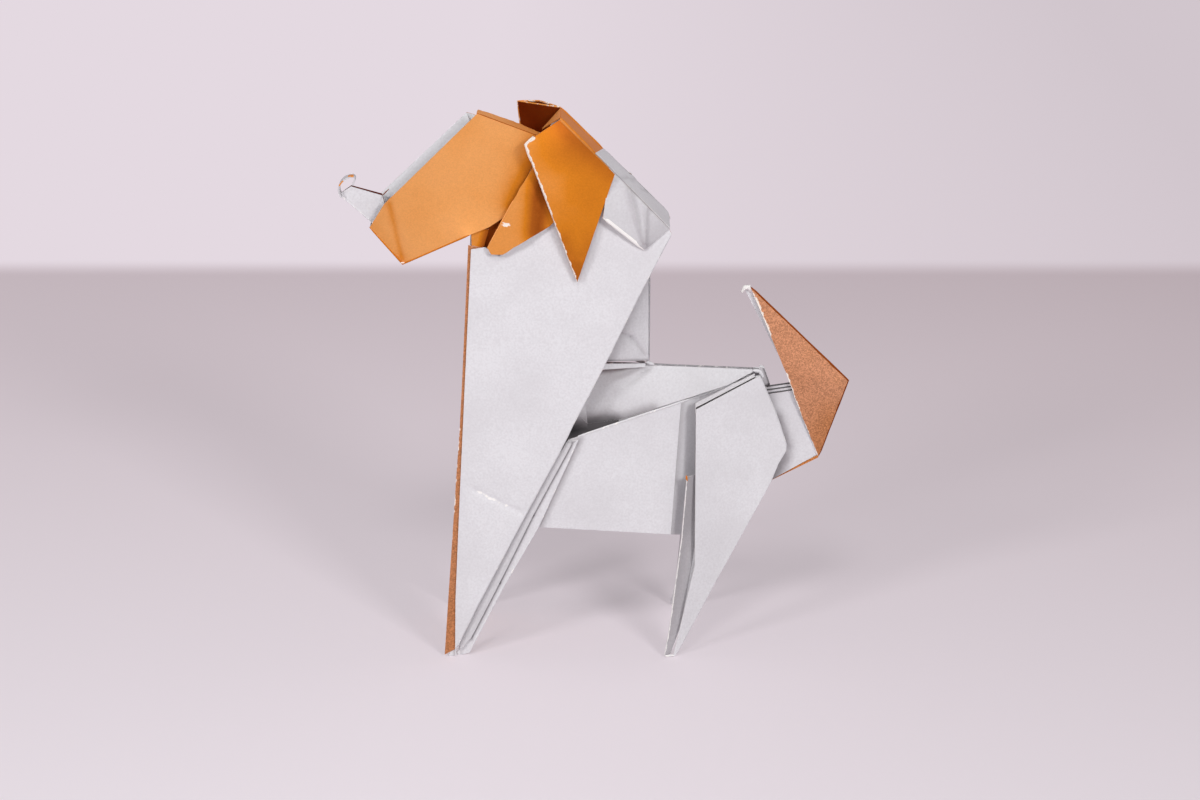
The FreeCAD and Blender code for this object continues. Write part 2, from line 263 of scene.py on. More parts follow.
def addPly(facets, outward, front="white", back="white", creases=(), worn=(), tints=(), tone=0.0,
           backTone=None, bulge=0.0, ragged=0.0, step=meshing["step"], rim="core", soften=0):
    # one ply of the sheet: its flats, both its faces and its cut edge
    # tone and its tints paint light and shade into the print: on white a tone above zero greys it as
    # painted shade; on copper the tone picks each part's colour as light and reflection show it,
    # painted light, and the deepest tones are painted shade
    if backTone is None:
        backTone = 1.0 if back == "copper" else 0.0
    fine = [(a, b, 0, width) for a, b, extra, width in tints if width < meshing["fineTint"]]
    places, triangles, normals, rimEdges = joinFacets(
        facets, outward, list(creases) + fine, worn, step)
    rimLines = [(places[a].copy(), places[b].copy()) for a, b in rimEdges]
    centre = sum(places, at(0, 0, 0)) / len(places)
    reach = max((p - centre).length for p in places)
    rimPoints = {a for edge in rimEdges for a in edge}
    if soften:
        roundFolds(places, triangles, rimPoints, soften)
    fronts, backs = [], []
    for k, p in enumerate(places):
        normal = normals[k].normalized()
        wear = max([unworn] + [peak - gapToLine(p, a, b) / width for a, b, width, peak in worn])
        fromEdge = 0.0 if k in rimPoints else min(gapToLine(p, a, b) for a, b in rimLines)
        calm = min(1.0, fromEdge / paperStock["calmEdge"])
        calm = calm * calm * (3 - 2 * calm)
        calm = paperStock["calmShare"] + (1 - paperStock["calmShare"]) * calm
        height = paperStock["buckle"] * noise.noise(p / paperStock["buckleLength"]) * calm
        height += paperStock["ripple"] * noise.noise(p / paperStock["rippleLength"]) * calm
        height += bulge * max(0.0, 1 - ((p - centre).length / reach) ** 2)
        height += bell(p, creases)
        middle = p + normal * height
        if ragged and k in rimPoints:
            inward = (centre - p).normalized()
            middle += inward * ragged * noise.noise(p / paperStock["raggedLength"])
        half = normal * paperStock["thickness"] / 2
        fronts.append(addPoint(middle + half, wear, tone + bell(p, tints)))
        backs.append(addPoint(middle - half, unworn, backTone))
    for a, b, c in triangles:
        addFace([fronts[a], fronts[b], fronts[c]], front)
        addFace([backs[c], backs[b], backs[a]], back)
    for a, b in rimEdges:
        addFace([fronts[a], backs[a], backs[b], fronts[b]], rim)


def roundFolds(places, triangles, fixed, passes):
    # eases the folds inside a ply, with its rim held
    neighbours = [set() for p in places]
    for face in triangles:
        for k in range(3):
            neighbours[face[k]].update((face[k - 1], face[k - 2]))
    for turn in range(passes):
        means = [sum((places[n] for n in near), at(0, 0, 0)) / len(near) for near in neighbours]
        for k, mean in enumerate(means):
            if k not in fixed:
                places[k] = places[k].lerp(mean, meshing["ease"])


def addRoll(path, radius, finish="white", wear=unworn, tone=0.0):
    # the round back of a fold, along a run of corners
    line = []
    for a, b in zip(path, path[1:]):
        line += edgeRun(a, b, rolls["step"])
    line.append(path[-1])
    around = rolls["around"]
    rings = []
    for k, p in enumerate(line):
        ahead = (line[min(k + 1, len(line) - 1)] - line[max(k - 1, 0)]).normalized()
        helper = at(0, 1, 0) if abs(ahead.y) < 0.8 else at(1, 0, 0)
        sideways = ahead.cross(helper).normalized()
        lift = sideways.cross(ahead)
        size = radius * (1 + rolls["swell"] * noise.noise(p / rolls["swellLength"]))
        if k in (0, len(line) - 1):
            size *= rolls["endShare"]
        ring = []
        for step in range(around):
            angle = 2 * math.pi * step / around
            spoke = sideways * math.cos(angle) + lift * math.sin(angle)
            ring.append(addPoint(p + spoke * size, wear, tone))
        rings.append(ring)
    for ring, following in zip(rings, rings[1:]):
        for step in range(around):
            beside = (step + 1) % around
            addFace([ring[step], ring[beside], following[beside], following[step]], finish)
    addFace(rings[0][::-1], finish)
    addFace(rings[-1], finish)


# Chest and front legs: four plies, one inside the other
chest = {
    "toe": [(0.25, 0.3), (0.0, 0.3), (0.2, 10.0), (1.15, 28.0), (3.4, 67.4)],
    "notch": [(5.6, 67.75), (6.3, 67.3), (7.8, 66.3)],
    "underCheek": [(9.6, 68.6), (16.0, 76.0)],
    "backEdge": [(34.6, 69.9), (29.95, 60.9), (24.1, 48.8), (21.7, 44.0), (19.1, 39.0),
                 (18.0, 36.6), (16.75, 34.1), (11.3, 23.8), (3.7, 9.0), (0.1, 1.5)],
    "collarShare": 0.45,
    "strip": [(-1.7, 0.35), (-0.9, 11.0), (-0.2, 20.0), (0.55, 30.0), (1.25, 38.5), (1.8, 47.5),
              (2.95, 68.0)],     # the second ply's copper face, seen along the shin
    "stripEnd": (0.0, 1.3), "stripSet": (0.1, -0.35), "stripTone": -1.8, "stripWear": (0.5, 0.42),
    "stub": [(-1.1, 0.05), (0.0, 0.05), (-0.1, 1.3), (-0.65, 0.85)],
    "third": [(19.0, 35.8), (12.7, 23.8), (7.1, 12.2), (2.5, 3.0), (0.9, 1.1)],
    "fourth": [(20.0, 36.25), (13.5, 21.6), (8.2, 12.2), (3.1, 2.2), (2.3, 0.5), (0.9, 0.05)],
    "fourthFront": [(0.2, 0.05), (11.0, 35.8)], "innerReach": 9.0,
    "valley": 1.9, "valleyLayer": -1.8, "valleyPaintedShade": 0.4, "valleyShade": (1.7, 0.2),
    "crease": [(3.4, 28.3), (11.6, 24.1)], "creaseForm": (-0.22, 0.5),
    "crack": [(3.6, 28.2), (8.6, 25.7)], "crackWear": (0.7, 0.5),
    "foldRadius": 0.2, "fourthRadius": 0.14, "thirdRadius": 0.08,
}


def foldChest(side):
    outward = at(0, side, 0)
    underHead = chest["notch"] + chest["underCheek"]
    outer = sideRun(side, chest["toe"] + underHead, 1)
    outer += [onCrest(side, chest["collarShare"], 1), onCrest(side, 1.0, 1)]
    outer += sideRun(side, chest["backEdge"], 1)
    creases = along(sideRun(side, chest["crease"], 1), *chest["creaseForm"])
    worn = along(sideRun(side, chest["crack"], 1), *chest["crackWear"])
    near = side < 0              # only the near side has cracked
    addPly([outer], outward, back="copper", creases=creases if near else [],
           worn=worn if near else [])
    second = sideRun(side, chest["strip"])
    worn = along(second[2:5:2], *chest["stripWear"])
    second += sideRun(side, underHead, 0.0, chest["stripSet"])
    second += [onCrest(side, chest["collarShare"]), onCrest(side, 1.0)]
    second += sideRun(side, chest["backEdge"][:-1] + [chest["stripEnd"]])
    addPly([second], outward, "copper", worn=worn, tone=chest["stripTone"])
    addPly([sideRun(side, chest["stub"], -0.4)], outward, step=0.4, ragged=0.2)
    # the third ply stands open, so its strip slopes up out of a shaded valley, painted grey as
    # painted shade
    rear = sideRun(side, chest["third"], -0.6)
    deep = sideRun(side, chest["third"][:4], chest["valleyLayer"], (-chest["valley"], 0.0))
    inner = sideRun(side, chest["third"][:2], chest["valleyLayer"], (-chest["innerReach"], 0.0))
    for k in range(3):
        addPly([[rear[k], rear[k + 1], deep[k + 1], deep[k]]], outward, tone=chest["valleyPaintedShade"])
    addPly([[rear[3], rear[4], deep[3]]], outward, step=0.5, tone=chest["valleyPaintedShade"])
    addPly([[inner[0], deep[0], deep[1], inner[1]]], outward)
    # painted shadow: a dark line on the fourth ply beside the third's edge
    shade = sideRun(side, chest["third"][:4], -2, (chest["fourthRadius"], 0.0))
    addPly([sideRun(side, chest["fourth"] + chest["fourthFront"], -2)], outward, back="copper",
           tints=along(shade, *chest["valleyShade"]))
    addRoll(sideRun(side, chest["backEdge"], 0.5), chest["foldRadius"], wear=0.2)
    addRoll(sideRun(side, chest["fourth"], -2.2), chest["fourthRadius"], wear=0.2)
    addRoll(sideRun(side, chest["third"][:4], -0.7), chest["thirdRadius"], tone=chest["valleyPaintedShade"])


# Body: the two sides and the back between them
body = {
    "spineFront": (20.5, 47.2), "rump": (48.9, 46.0), "rumpHalfWidth": 0.9,
    "elbow": (20.0, 36.7), "belly": (13.9, 21.6), "sideLayer": -3,
    "bellyEnd": (43.7, 4.4, 18.6), "bellyMid": (28.0, 20.2),
    "tuck": 2.0,                 # how far the side runs in behind the front leg
    "legShade": (1.0, 0.6), "legShadeSet": (0.3, 0.0),
    "foldIn": (36.4, 34.9), "foldInEnd": (39.4, 38.9), "foldInDepth": (0.9, 2.2),
    "foldInDrop": 0.35, "foldInPaintedShade": 0.15, "foldInShade": (0.6, 0.7), "thighShade": (0.6, 1.6),
    "backTone": 0.3, "backSlope": 0.75,
    # the slot's lip beside the side's top edge: x, inward and upward
    "slot": [(44.0, 0.1, 0.15), (32.0, 0.1, 0.3), (26.5, 0.9, 0.2), (21.5, 1.9, 0.9)],
    "slotFloor": 30.5, "slotGap": 0.5, "slotPaintedShades": (1.2, 2.6),
    "slotFront": (18.4, 41.6, -7), "slotBase": (15.4, 32.6, -5.5),   # x, z and layer
    "slotFrontPaintedShade": 0.4,
    "deepest": [(22.0, 37.4), (16.5, 37.4)], "deepLayer": -5, "deepShade": (3.4, 1.9),
    "lipShades": [(2.4, 1.4), (1.1, 0.9)],
    "slotCrack": [(18.8, 37.8), (18.1, 36.2), (17.0, 34.3)],   # behind the chest's edge
    "crackRadii": (0.26, 0.14), "slotCrackPaintedShade": 3.0,
    "backCrease": [(31.2, 46.4), (23.5, 41.0), (20.6, 38.6)], "backCreaseForm": (-0.34, 0.55),
    "backCreaseShade": (0.9, 0.28),
    "faintCrease": [(33.9, 45.3), (32.3, 40.2)], "faintCreaseForm": (0.2, 0.5),
    "foldRadius": 0.19, "spinePaintedShade": 0.7,
}


def foldBody(side):
    outward = at(0, side, 0)
    layer = body["sideLayer"]
    elbow = onSide(side, *body["elbow"], layer)
    belly = onSide(side, *body["belly"], layer)
    bellyEnd = mirrored(side, body["bellyEnd"])
    x, z = body["rump"]
    rump = at(x, side * body["rumpHalfWidth"], z - body["rumpHalfWidth"])
    elbowIn = elbow + (elbow - rump).normalized() * body["tuck"]
    bellyIn = belly + (belly - bellyEnd).normalized() * body["tuck"]
    bellyMid = onPlane(elbow, belly, bellyEnd, *body["bellyMid"])

    def between(a, b, x):
        return a.lerp(b, (x - a.x) / (b.x - a.x))

    # the side turns in behind the thigh
    edges = ((elbow, rump), (bellyMid, bellyEnd))
    topIn, lowIn = [between(a, b, x) for (a, b), x in zip(edges, body["foldIn"])]
    topEnd, lowEnd = [
        mirrored(side, (0, -depth, -body["foldInDrop"] * depth), between(a, b, x))
        for (a, b), x, depth in zip(edges, body["foldInEnd"], body["foldInDepth"])]
    # painted shadow on the side beside the front leg's fourth ply
    beside = sideRun(side, chest["fourth"][:2], layer, body["legShadeSet"])
    addPly([[elbowIn, elbow, topIn, lowIn], [elbowIn, lowIn, bellyMid, bellyIn]], outward,
           tints=along(beside, *body["legShade"]))
    # painted shade: the band that turns in behind the thigh is painted grey and darker at its front
    # edge, and the side beyond is darker along its top by the thigh
    addPly([[topIn, topEnd, lowIn], [topEnd, lowEnd, lowIn]], outward, tone=body["foldInPaintedShade"],
           tints=along([topIn, lowIn], *body["foldInShade"]))
    addPly([[topEnd, rump, lowEnd], [rump, bellyEnd, lowEnd]], outward,
           tints=along([topEnd, rump], *body["thighShade"]))
    spine = levelRun([body["spineFront"], body["rump"]])
    end, *lip = [mirrored(side, (0, -inward, upward), between(elbow, rump, x))
                 for x, inward, upward in body["slot"]]
    ridge = body["spineFront"][1]
    crease, faint = [[at(x, side * (ridge - z) * body["backSlope"], z) for x, z in body[name]]
                     for name in ("backCrease", "faintCrease")]
    creases = along(crease, *body["backCreaseForm"]) + along(faint, *body["faintCreaseForm"])
    # painted shade: the back is painted a little grey, darker along the slot's lip and along its
    # crease
    lipShade, rearShade = body["lipShades"]
    tints = along([lip[2], lip[1].lerp(lip[2], 0.3)], *lipShade)
    tints += along([lip[1], lip[0]], *rearShade) + along(crease, *body["backCreaseShade"])
    addPly([[spine[0], spine[1], end]] + [[spine[0], a, b] for a, b in zip([end] + lip, lip)],
           at(0, side * 0.6, 1), creases=creases, tone=body["backTone"], tints=tints)
    # the slot between the back and the side, open towards the elbow; its walls are painted dark grey
    # to near black and darkest at the deepest point, painted shade
    inside = at(0, -side * body["slotGap"], 0)
    floor = [onPlane(elbow, rump, bellyEnd, p.x, body["slotFloor"]) + inside for p in lip]
    for k, tone in enumerate(body["slotPaintedShades"]):
        addPly([[lip[k], lip[k + 1], floor[k + 1]], [lip[k], floor[k + 1], floor[k]]], outward,
               tone=tone)
    front, base = [onSide(side, *body[name]) for name in ("slotFront", "slotBase")]
    tints = along(sideRun(side, body["deepest"], body["deepLayer"]), *body["deepShade"])
    addPly([[lip[2], front, base, floor[2]]], at(0.6, side, 0), tone=body["slotFrontPaintedShade"],
           step=0.8, tints=tints)
    addPly([[lip[2], front, spine[0]]], outward, tone=body["backTone"], step=0.8, tints=tints)
    # near-black rolls behind the chest's edge: painted shade in the slot
    crack = sideRun(side, body["slotCrack"], -0.3)
    for k, radius in enumerate(body["crackRadii"]):
        addRoll(crack[k:k + 2], radius, tone=body["slotCrackPaintedShade"])
    addRoll([elbow, topIn, topEnd, rump], body["foldRadius"], wear=0.2)
    # the spine's roll is painted grey: painted shade
    addRoll(spine, body["foldRadius"], wear=0.2, tone=body["spinePaintedShade"])


# Ply that closes the neck behind, with a narrow hem along its foot
fin = {
    "back": 31.3, "bottom": 47.4, "top": 69.2, "front": 21.0, "frontBottom": 49.2,
    "layer": -0.6, "hemSet": [(-0.6, 0.45, -0.35), (0.0, 0.1, -0.35)], "hemDrop": (0, 0.45, -0.95),
    "wrinkle": [(27.0, 52.8), (28.6, 51.8), (30.7, 48.6)], "wrinkleForm": (-0.3, 0.4),
    "wrinkleShade": (0.4, 0.25),
    "shaded": [(24.0, 47.0), (30.6, 61.4)], "shade": (0.8, 1.1),   # where the chest overhangs
    "footShade": (1.2, 0.3), "foldRadius": 0.17,
    "knot": [(-0.4, 0.1, -0.2), (0.9, 0.0, -0.75)], "knotRadius": 0.26,
}


def foldFin(side):
    outward = at(0, side, 0)
    bottom, top = levelRun([(fin["back"], fin["bottom"]), (fin["back"], fin["top"])])
    frontTop, frontBottom = sideRun(
        side, [(fin["front"], fin["top"]), (fin["front"], fin["frontBottom"])], fin["layer"])
    wrinkle, shaded = [planeRun(bottom, top, frontBottom, fin[name])
                       for name in ("wrinkle", "shaded")]
    # painted shade along the wrinkle and the foot, and painted shadow where the chest overhangs
    creases = along(wrinkle, *fin["wrinkleForm"]) if side < 0 else []
    tints = along(wrinkle, *fin["wrinkleShade"]) if side < 0 else []
    tints += along(shaded, *fin["shade"]) + along([bottom, frontBottom], *fin["footShade"])
    addPly([[bottom, top, frontBottom], [top, frontTop, frontBottom]], outward, back="copper",
           creases=creases, tints=tints)
    hem = [mirrored(side, place, p) for place, p in zip(fin["hemSet"], (bottom, frontBottom))]
    low = mirrored(side, fin["hemDrop"])
    addPly([[hem[0], hem[1], hem[1] + low, hem[0] + low * 0.55]], outward, step=0.8)
    crestEnd = onCrest(side, 1.0)
    addPly([[crestEnd, top, frontTop]], outward, back="copper")
    addRoll([bottom, top], fin["foldRadius"], wear=0.2)
    addRoll([mirrored(side, place, bottom) for place in fin["knot"]], fin["knotRadius"])
    addRoll([crestEnd, top], fin["foldRadius"])


# Hind legs: an outer kite folded over an inner ply, open like a trough towards the front
hindLeg = {
    "rumpSet": (0.0, 1.4, -0.7), "corner": (38.7, 5.2, 41.0), "toeWidth": 0.3,
    "footSet": 0.2, "shinFront": (38.7, 15.0),
    "haunch": [(51.6, 38.8), (52.5, 36.2), (53.4, 33.3), (53.35, 32.3), (52.1, 30.3),
               (50.9, 27.3), (42.2, 12.0)],
    "bulge": 0.25, "shinShaded": [(37.5, 5.0), (39.5, 17.0)], "shinShade": (0.2, 5.0),
    "farShift": 1.2,             # the far foot stands this much further back
    # the inner ply's front edge: x, z, how proud it stands, how deep and how far back it slopes,
    # and its share of the far foot's shift
    "lining": [(37.4, 29.9, -0.2, 1.0, 2.0, 0.6), (36.6, 19.7, -0.7, 1.1, 2.5, 0.6),
               (34.75, 4.9, -0.5, 0.8, 1.9, 1.2), (33.95, 0.35, -0.1, 0.5, 0.9, 1.2)],
    "liningPaintedShade": 1.2, "liningLight": (-0.4, 1.6), "liningWear": (0.2, 1.0),
    # a bare copper fleck, from the lining's upper corner
    "flake": [(-0.2, 0.15, 0.55), (0.1, 0.15, 0.25), (0.1, 0.15, -0.65), (-0.25, 0.15, -0.17)],
    "flakeTone": 1.0,
    # a ply of the back laps over the thigh, with a dark gap under it painted as a near-black ply,
    # painted shade: the rise of each corner, then inset and tone
    "laps": [((0.85, 0.6, -1, -1), 0.45, 0.0), ((0.2, 0.14, -1, -1), 0.25, 2.6)],
    "lapShare": 0.93,
    "rumpRoll": [(-0.9, 0.5, -0.1), (0.2, 0.4, -0.3), (0.7, 0.5, -1.3)],
    "foldRadius": 0.24, "rumpRadius": 0.34, "toeRadius": 0.2,
}


def foldHindLeg(side):
    outward = at(0, side, 0)
    x, z = body["rump"]
    rumpTop = at(x, 0, z)
    rump = mirrored(side, hindLeg["rumpSet"], rumpTop)
    corner = mirrored(side, hindLeg["corner"])
    shift = hindLeg["farShift"] if side > 0 else 0.0
    foot = at(stance["stride"] + hindLeg["footSet"] + shift, side * stance["footHalfGap"], 0)

    def outer(x, z):
        return onPlane(rump, corner, foot, x, z)

    half = hindLeg["toeWidth"] / 2
    backEdge = [rump] + [outer(x, z) for x, z in hindLeg["haunch"]]
    backEdge.append(outer(foot.x + half, 0.05))
    x, z = hindLeg["shinFront"]
    kite = backEdge + [outer(foot.x - half, 0.05), outer(x + shift / 2, z), corner]
    # painted shade on the lower shin
    shaded = planeRun(rump, corner, foot, hindLeg["shinShaded"])
    addPly([kite], outward, bulge=hindLeg["bulge"], tints=along(shaded, *hindLeg["shinShade"]))
    # the inner ply: its front edge stands free, then it slopes back into the shade; it is painted
    # grey as painted shade, a little lighter at its deep edge as painted light
    edge, deep = [], []
    for x, z, proud, depth, reach, share in hindLeg["lining"]:
        x += shift * share
        edge.append(outer(x, z) + at(0, side * proud, 0))
        deep.append(at(x + reach, outer(x + reach, z).y - side * depth, z))
    for k in range(3):
        addPly([[edge[k], edge[k + 1], deep[k + 1], deep[k]]], outward, step=0.8,
               worn=along(edge[k:k + 2], *hindLeg["liningWear"]), tone=hindLeg["liningPaintedShade"],
               tints=along(deep[k:k + 2], *hindLeg["liningLight"]))
    inward = at(0, -side * 0.5, 0)
    rear = [p + inward for p in backEdge[1:-1]]
    addPly([[deep[0]] + rear[:-1] + [deep[1]]], outward)
    addPly([[deep[1], rear[-2], rear[-1], deep[2]]], outward)
    addPly([[mirrored(side, place, edge[0]) for place in hindLeg["flake"]]], outward, "copper",
           step=0.4, tone=hindLeg["flakeTone"], ragged=0.15)
    ends = [corner, corner.lerp(rump, hindLeg["lapShare"])]
    for rises, inset, tone in hindLeg["laps"]:
        addPly([[mirrored(side, (0, -inset, rise), p) for p, rise in zip(ends + ends[::-1], rises)]],
               outward, tone=tone)
    addRoll([rump] + [p + inward / 2 for p in backEdge[1:]], hindLeg["foldRadius"], wear=0.2)
    addRoll([mirrored(side, place, rumpTop) for place in hindLeg["rumpRoll"]],
            hindLeg["rumpRadius"])
    addRoll([edge[3] + at(0.1, 0, -0.1), foot + at(0, 0, 0.22)], hindLeg["toeRadius"], wear=0.4)


# Tail: a copper fold that is open at its front, carried by a white root
tail = {
    "tip": (47.4, 59.6), "corner": (63.2, 44.0), "low": (58.8, 31.1),
    "edge": (53.2, 1.3, 45.7), "edgeLow": (55.4, 39.6), "foldHalfWidth": 0.25,
    "slip": 1.1,                 # the far half ends this much further forward
    "wear": [(0.5, 0.9), (0.35, 0.8), (0.2, 0.6)],     # down its open edge
    "tone": -1.2, "lowTint": (-0.8, 3.5), "ragged": 0.14,
    "rootTop": (50.4, 41.9), "rootBack": (58.2, 43.1), "rootBottom": (50.1, 26.3),
    "rootHalfWidth": 0.34, "rootSteps": {-1: (0.0, 0.55, 1.1), 1: (0.9,)}, "rootSpread": 0.12,
    "rootStepBack": 0.15, "rootTaper": 0.4, "rootFoot": (58.3, 31.2),
    "rootPaintedShade": 0.1, "rootShade": (0.6, 1.6), "lineHeight": 0.1, "linePaintedShade": 2.7,
    "shaded": [[(52.0, 37.8), (53.65, 33.0)], [(53.3, 30.9), (51.5, 26.8)]],   # by the thigh
    "shade": (1.15, 1.0), "innerTop": (49.5, 0.1, 45.8), "innerPaintedShade": 1.3,
    "steep": [(49.0, 46.5), (49.75, 46.3), (50.75, 43.5), (50.0, 43.2), (49.3, 44.6)],
    "steepPaintedShade": 0.7, "steepShades": [(1.5, 0.25), (2.2, 0.25)],
    "hem": [(49.8, 26.4), (58.8, 31.3)], "hemDrop": (0.05, 0.2, -0.42), "hemWear": (0.12, 0.7),
    "hemTone": -2.4, "foldRadius": 0.25, "foldPaintedShade": 2.5,
    "curl": [(-1.4, 0.15, -0.75), (-0.95, -0.1, 0.1), (-0.3, -0.1, 0.15), (-0.1, 0.0, -0.35)],
    "curlRadius": 0.36,          # the crumpled white tip
}


def foldTail(side):
    outward = at(0, side, 0)
    x, z = tail["tip"]
    slip = tail["slip"] if side > 0 else 0.0
    tip, corner, low = levelRun([(x - slip, z), tail["corner"], tail["low"]],
                                side * tail["foldHalfWidth"])
    edge = mirrored(side, tail["edge"])
    edgeLow = onPlane(corner, low, edge, *tail["edgeLow"])
    worn = [(a, b, *form) for (a, b), form in zip(
        ((tip.lerp(edge, 0.06), tip.lerp(edge, 0.55)), (edge, edgeLow), (edgeLow, low)),
        tail["wear"])]
    addPly([[tip, corner, edge], [edge, corner, low, edgeLow]], outward, "copper", worn=worn,
           tone=tail["tone"], ragged=tail["ragged"],
           tints=along([low, low.lerp(corner, 0.5)], *tail["lowTint"]))
    # the root's plies, each stepped over the last with a dark line between them; the line is a
    # near-black strip and the root is greyed by the thigh, both painted shade
    rootX, rootZ = tail["rootTop"]
    backX, backZ = tail["rootBack"]
    footX, footZ = tail["rootBottom"]
    lowX, lowZ = tail["rootFoot"]
    for ply, rise in enumerate(tail["rootSteps"][side]):
        y = side * (tail["rootHalfWidth"] - tail["rootSpread"] * ply)
        taper = y * tail["rootTaper"]
        corners = [at(rootX - tail["rootStepBack"] * ply, y, rootZ + rise),
                   at(backX, taper, backZ + rise), at(lowX, taper, lowZ), at(footX, y, footZ)]
        tints = [tint for run in tail["shaded"] for tint in along(levelRun(run, y), *tail["shade"])]
        addPly([corners], outward, step=1.0, tone=tail["rootPaintedShade"],
               tints=tints + along(corners[::3], *tail["rootShade"]))
        dark = at(0, -side * 0.1, tail["lineHeight"])
        addPly([[p + dark for p in corners[:2]] + [p - dark for p in corners[1::-1]]], outward,
               step=1.6, tone=tail["linePaintedShade"])
    hem = levelRun(tail["hem"], side * 0.05)
    drop = mirrored(side, tail["hemDrop"])
    addPly([[hem[0], hem[1], hem[1] + drop, hem[0] + drop * 0.7]], outward, "copper", "copper",
           worn=along(hem, *tail["hemWear"]), tone=tail["hemTone"], step=0.7)
    top, foot = levelRun([tail["rootTop"], tail["rootBottom"]], side * tail["rootHalfWidth"])
    # painted shade: the inner ply is painted grey
    addPly([[mirrored(side, tail["innerTop"]), top, foot]], outward, tone=tail["innerPaintedShade"])
    # the steep edge between the rump and the root, painted grey with darker lines as painted shade
    steep = levelRun(tail["steep"], side * 0.55)
    tints = [tint for k, shade in enumerate(tail["steepShades"])
             for tint in along(steep[k + 1:k + 3], *shade)]
    addPly([steep], outward, step=0.5, tone=tail["steepPaintedShade"], tints=tints)


def foldTailEdge():
    # the fold's roll is painted dark: painted shade
    addRoll(levelRun([tail["tip"], tail["corner"], tail["low"]]), tail["foldRadius"], "copper",
            tone=tail["foldPaintedShade"])
    x, z = tail["tip"]
    addRoll([at(x, 0, z) + Vector(p) for p in tail["curl"]], tail["curlRadius"], wear=1.0)


# Head: a trough, folded along the jaw and open on top
head = {
    "chin": (-7.6, 0.9, 63.8), "muzzleEnd": (-12.6, 1.1, 69.9), "lip": (-10.2, 2.3, 73.9),
    "brow": (4.6, 2.8, 88.6), "jaw": (3.2, 4.3, 69.6), "poll": (15.5, 3.1, 84.5),
    "jawCurve": [(6.2, 70.8), (8.3, 72.2), (9.9, 74.6), (12.5, 79.5)],
    "farShifts": {"lip": (-0.9, 0.0, 0.45), "brow": (-1.9, 0.0, -1.2), "poll": (0.0, 0.0, -0.8)},
    "jawTone": 0.3, "soften": 40,
    "muzzleCrease": [(-9.4, 74.2), (-7.7, 64.6)], "muzzleForm": (-0.4, 0.7),
    "muzzleShade": (0.7, 0.4), "endShade": (0.3, 1.6), "pollShade": (1.1, 3.0),
    "jawShade": (0.5, 1.4), "chinWear": (0.35, 0.8),
    "turnIn": (1.9, 0.24), "turnStops": [(0.0, 0.8), (0.2, 1.0), (0.6, 1.1), (1.0, 0.6)],
    "turnTone": -0.1, "turnShade": (0.7, 3.5), "turnRadius": 0.1,
    "stripTurn": (0.9, -0.8, -2.4),
    "foldRadius": 0.14, "foldPaintedShade": 1.2,
    "chinRoll": [(-0.25, 0.05, 0.25), (0.45, 0.05, 0.2)], "chinRadius": 0.2,
    # plies seen between the jaw and the cheek: x, z and layer; one copper painted as a lit ply and a
    # dark ply, painted light and painted shade
    "lit": [(3.5, 67.0, -0.6), (3.4, 70.4, -1.2), (6.2, 70.4, -1.2), (5.2, 66.9, -0.6)],
    "litTone": 0.6, "litShade": (1.7, 0.8),
    "dark": [(4.6, 66.5, -2.2), (4.6, 71.5, -2.2), (14.6, 83.0, -3.2), (16.2, 72.0, -3.2)],
    "darkPaintedShade": 2.7,
}


def foldJaw():
    # the narrow bottom of the trough
    ends = [[mirrored(side, head[name]) for side in (-1, 1)] for name in ("muzzleEnd", "chin", "jaw")]
    for (a, b), (c, d) in zip(ends, ends[1:]):
        addPly([[a, b, d, c]], at(-0.3, 0, -1), "copper", tone=head["jawTone"])


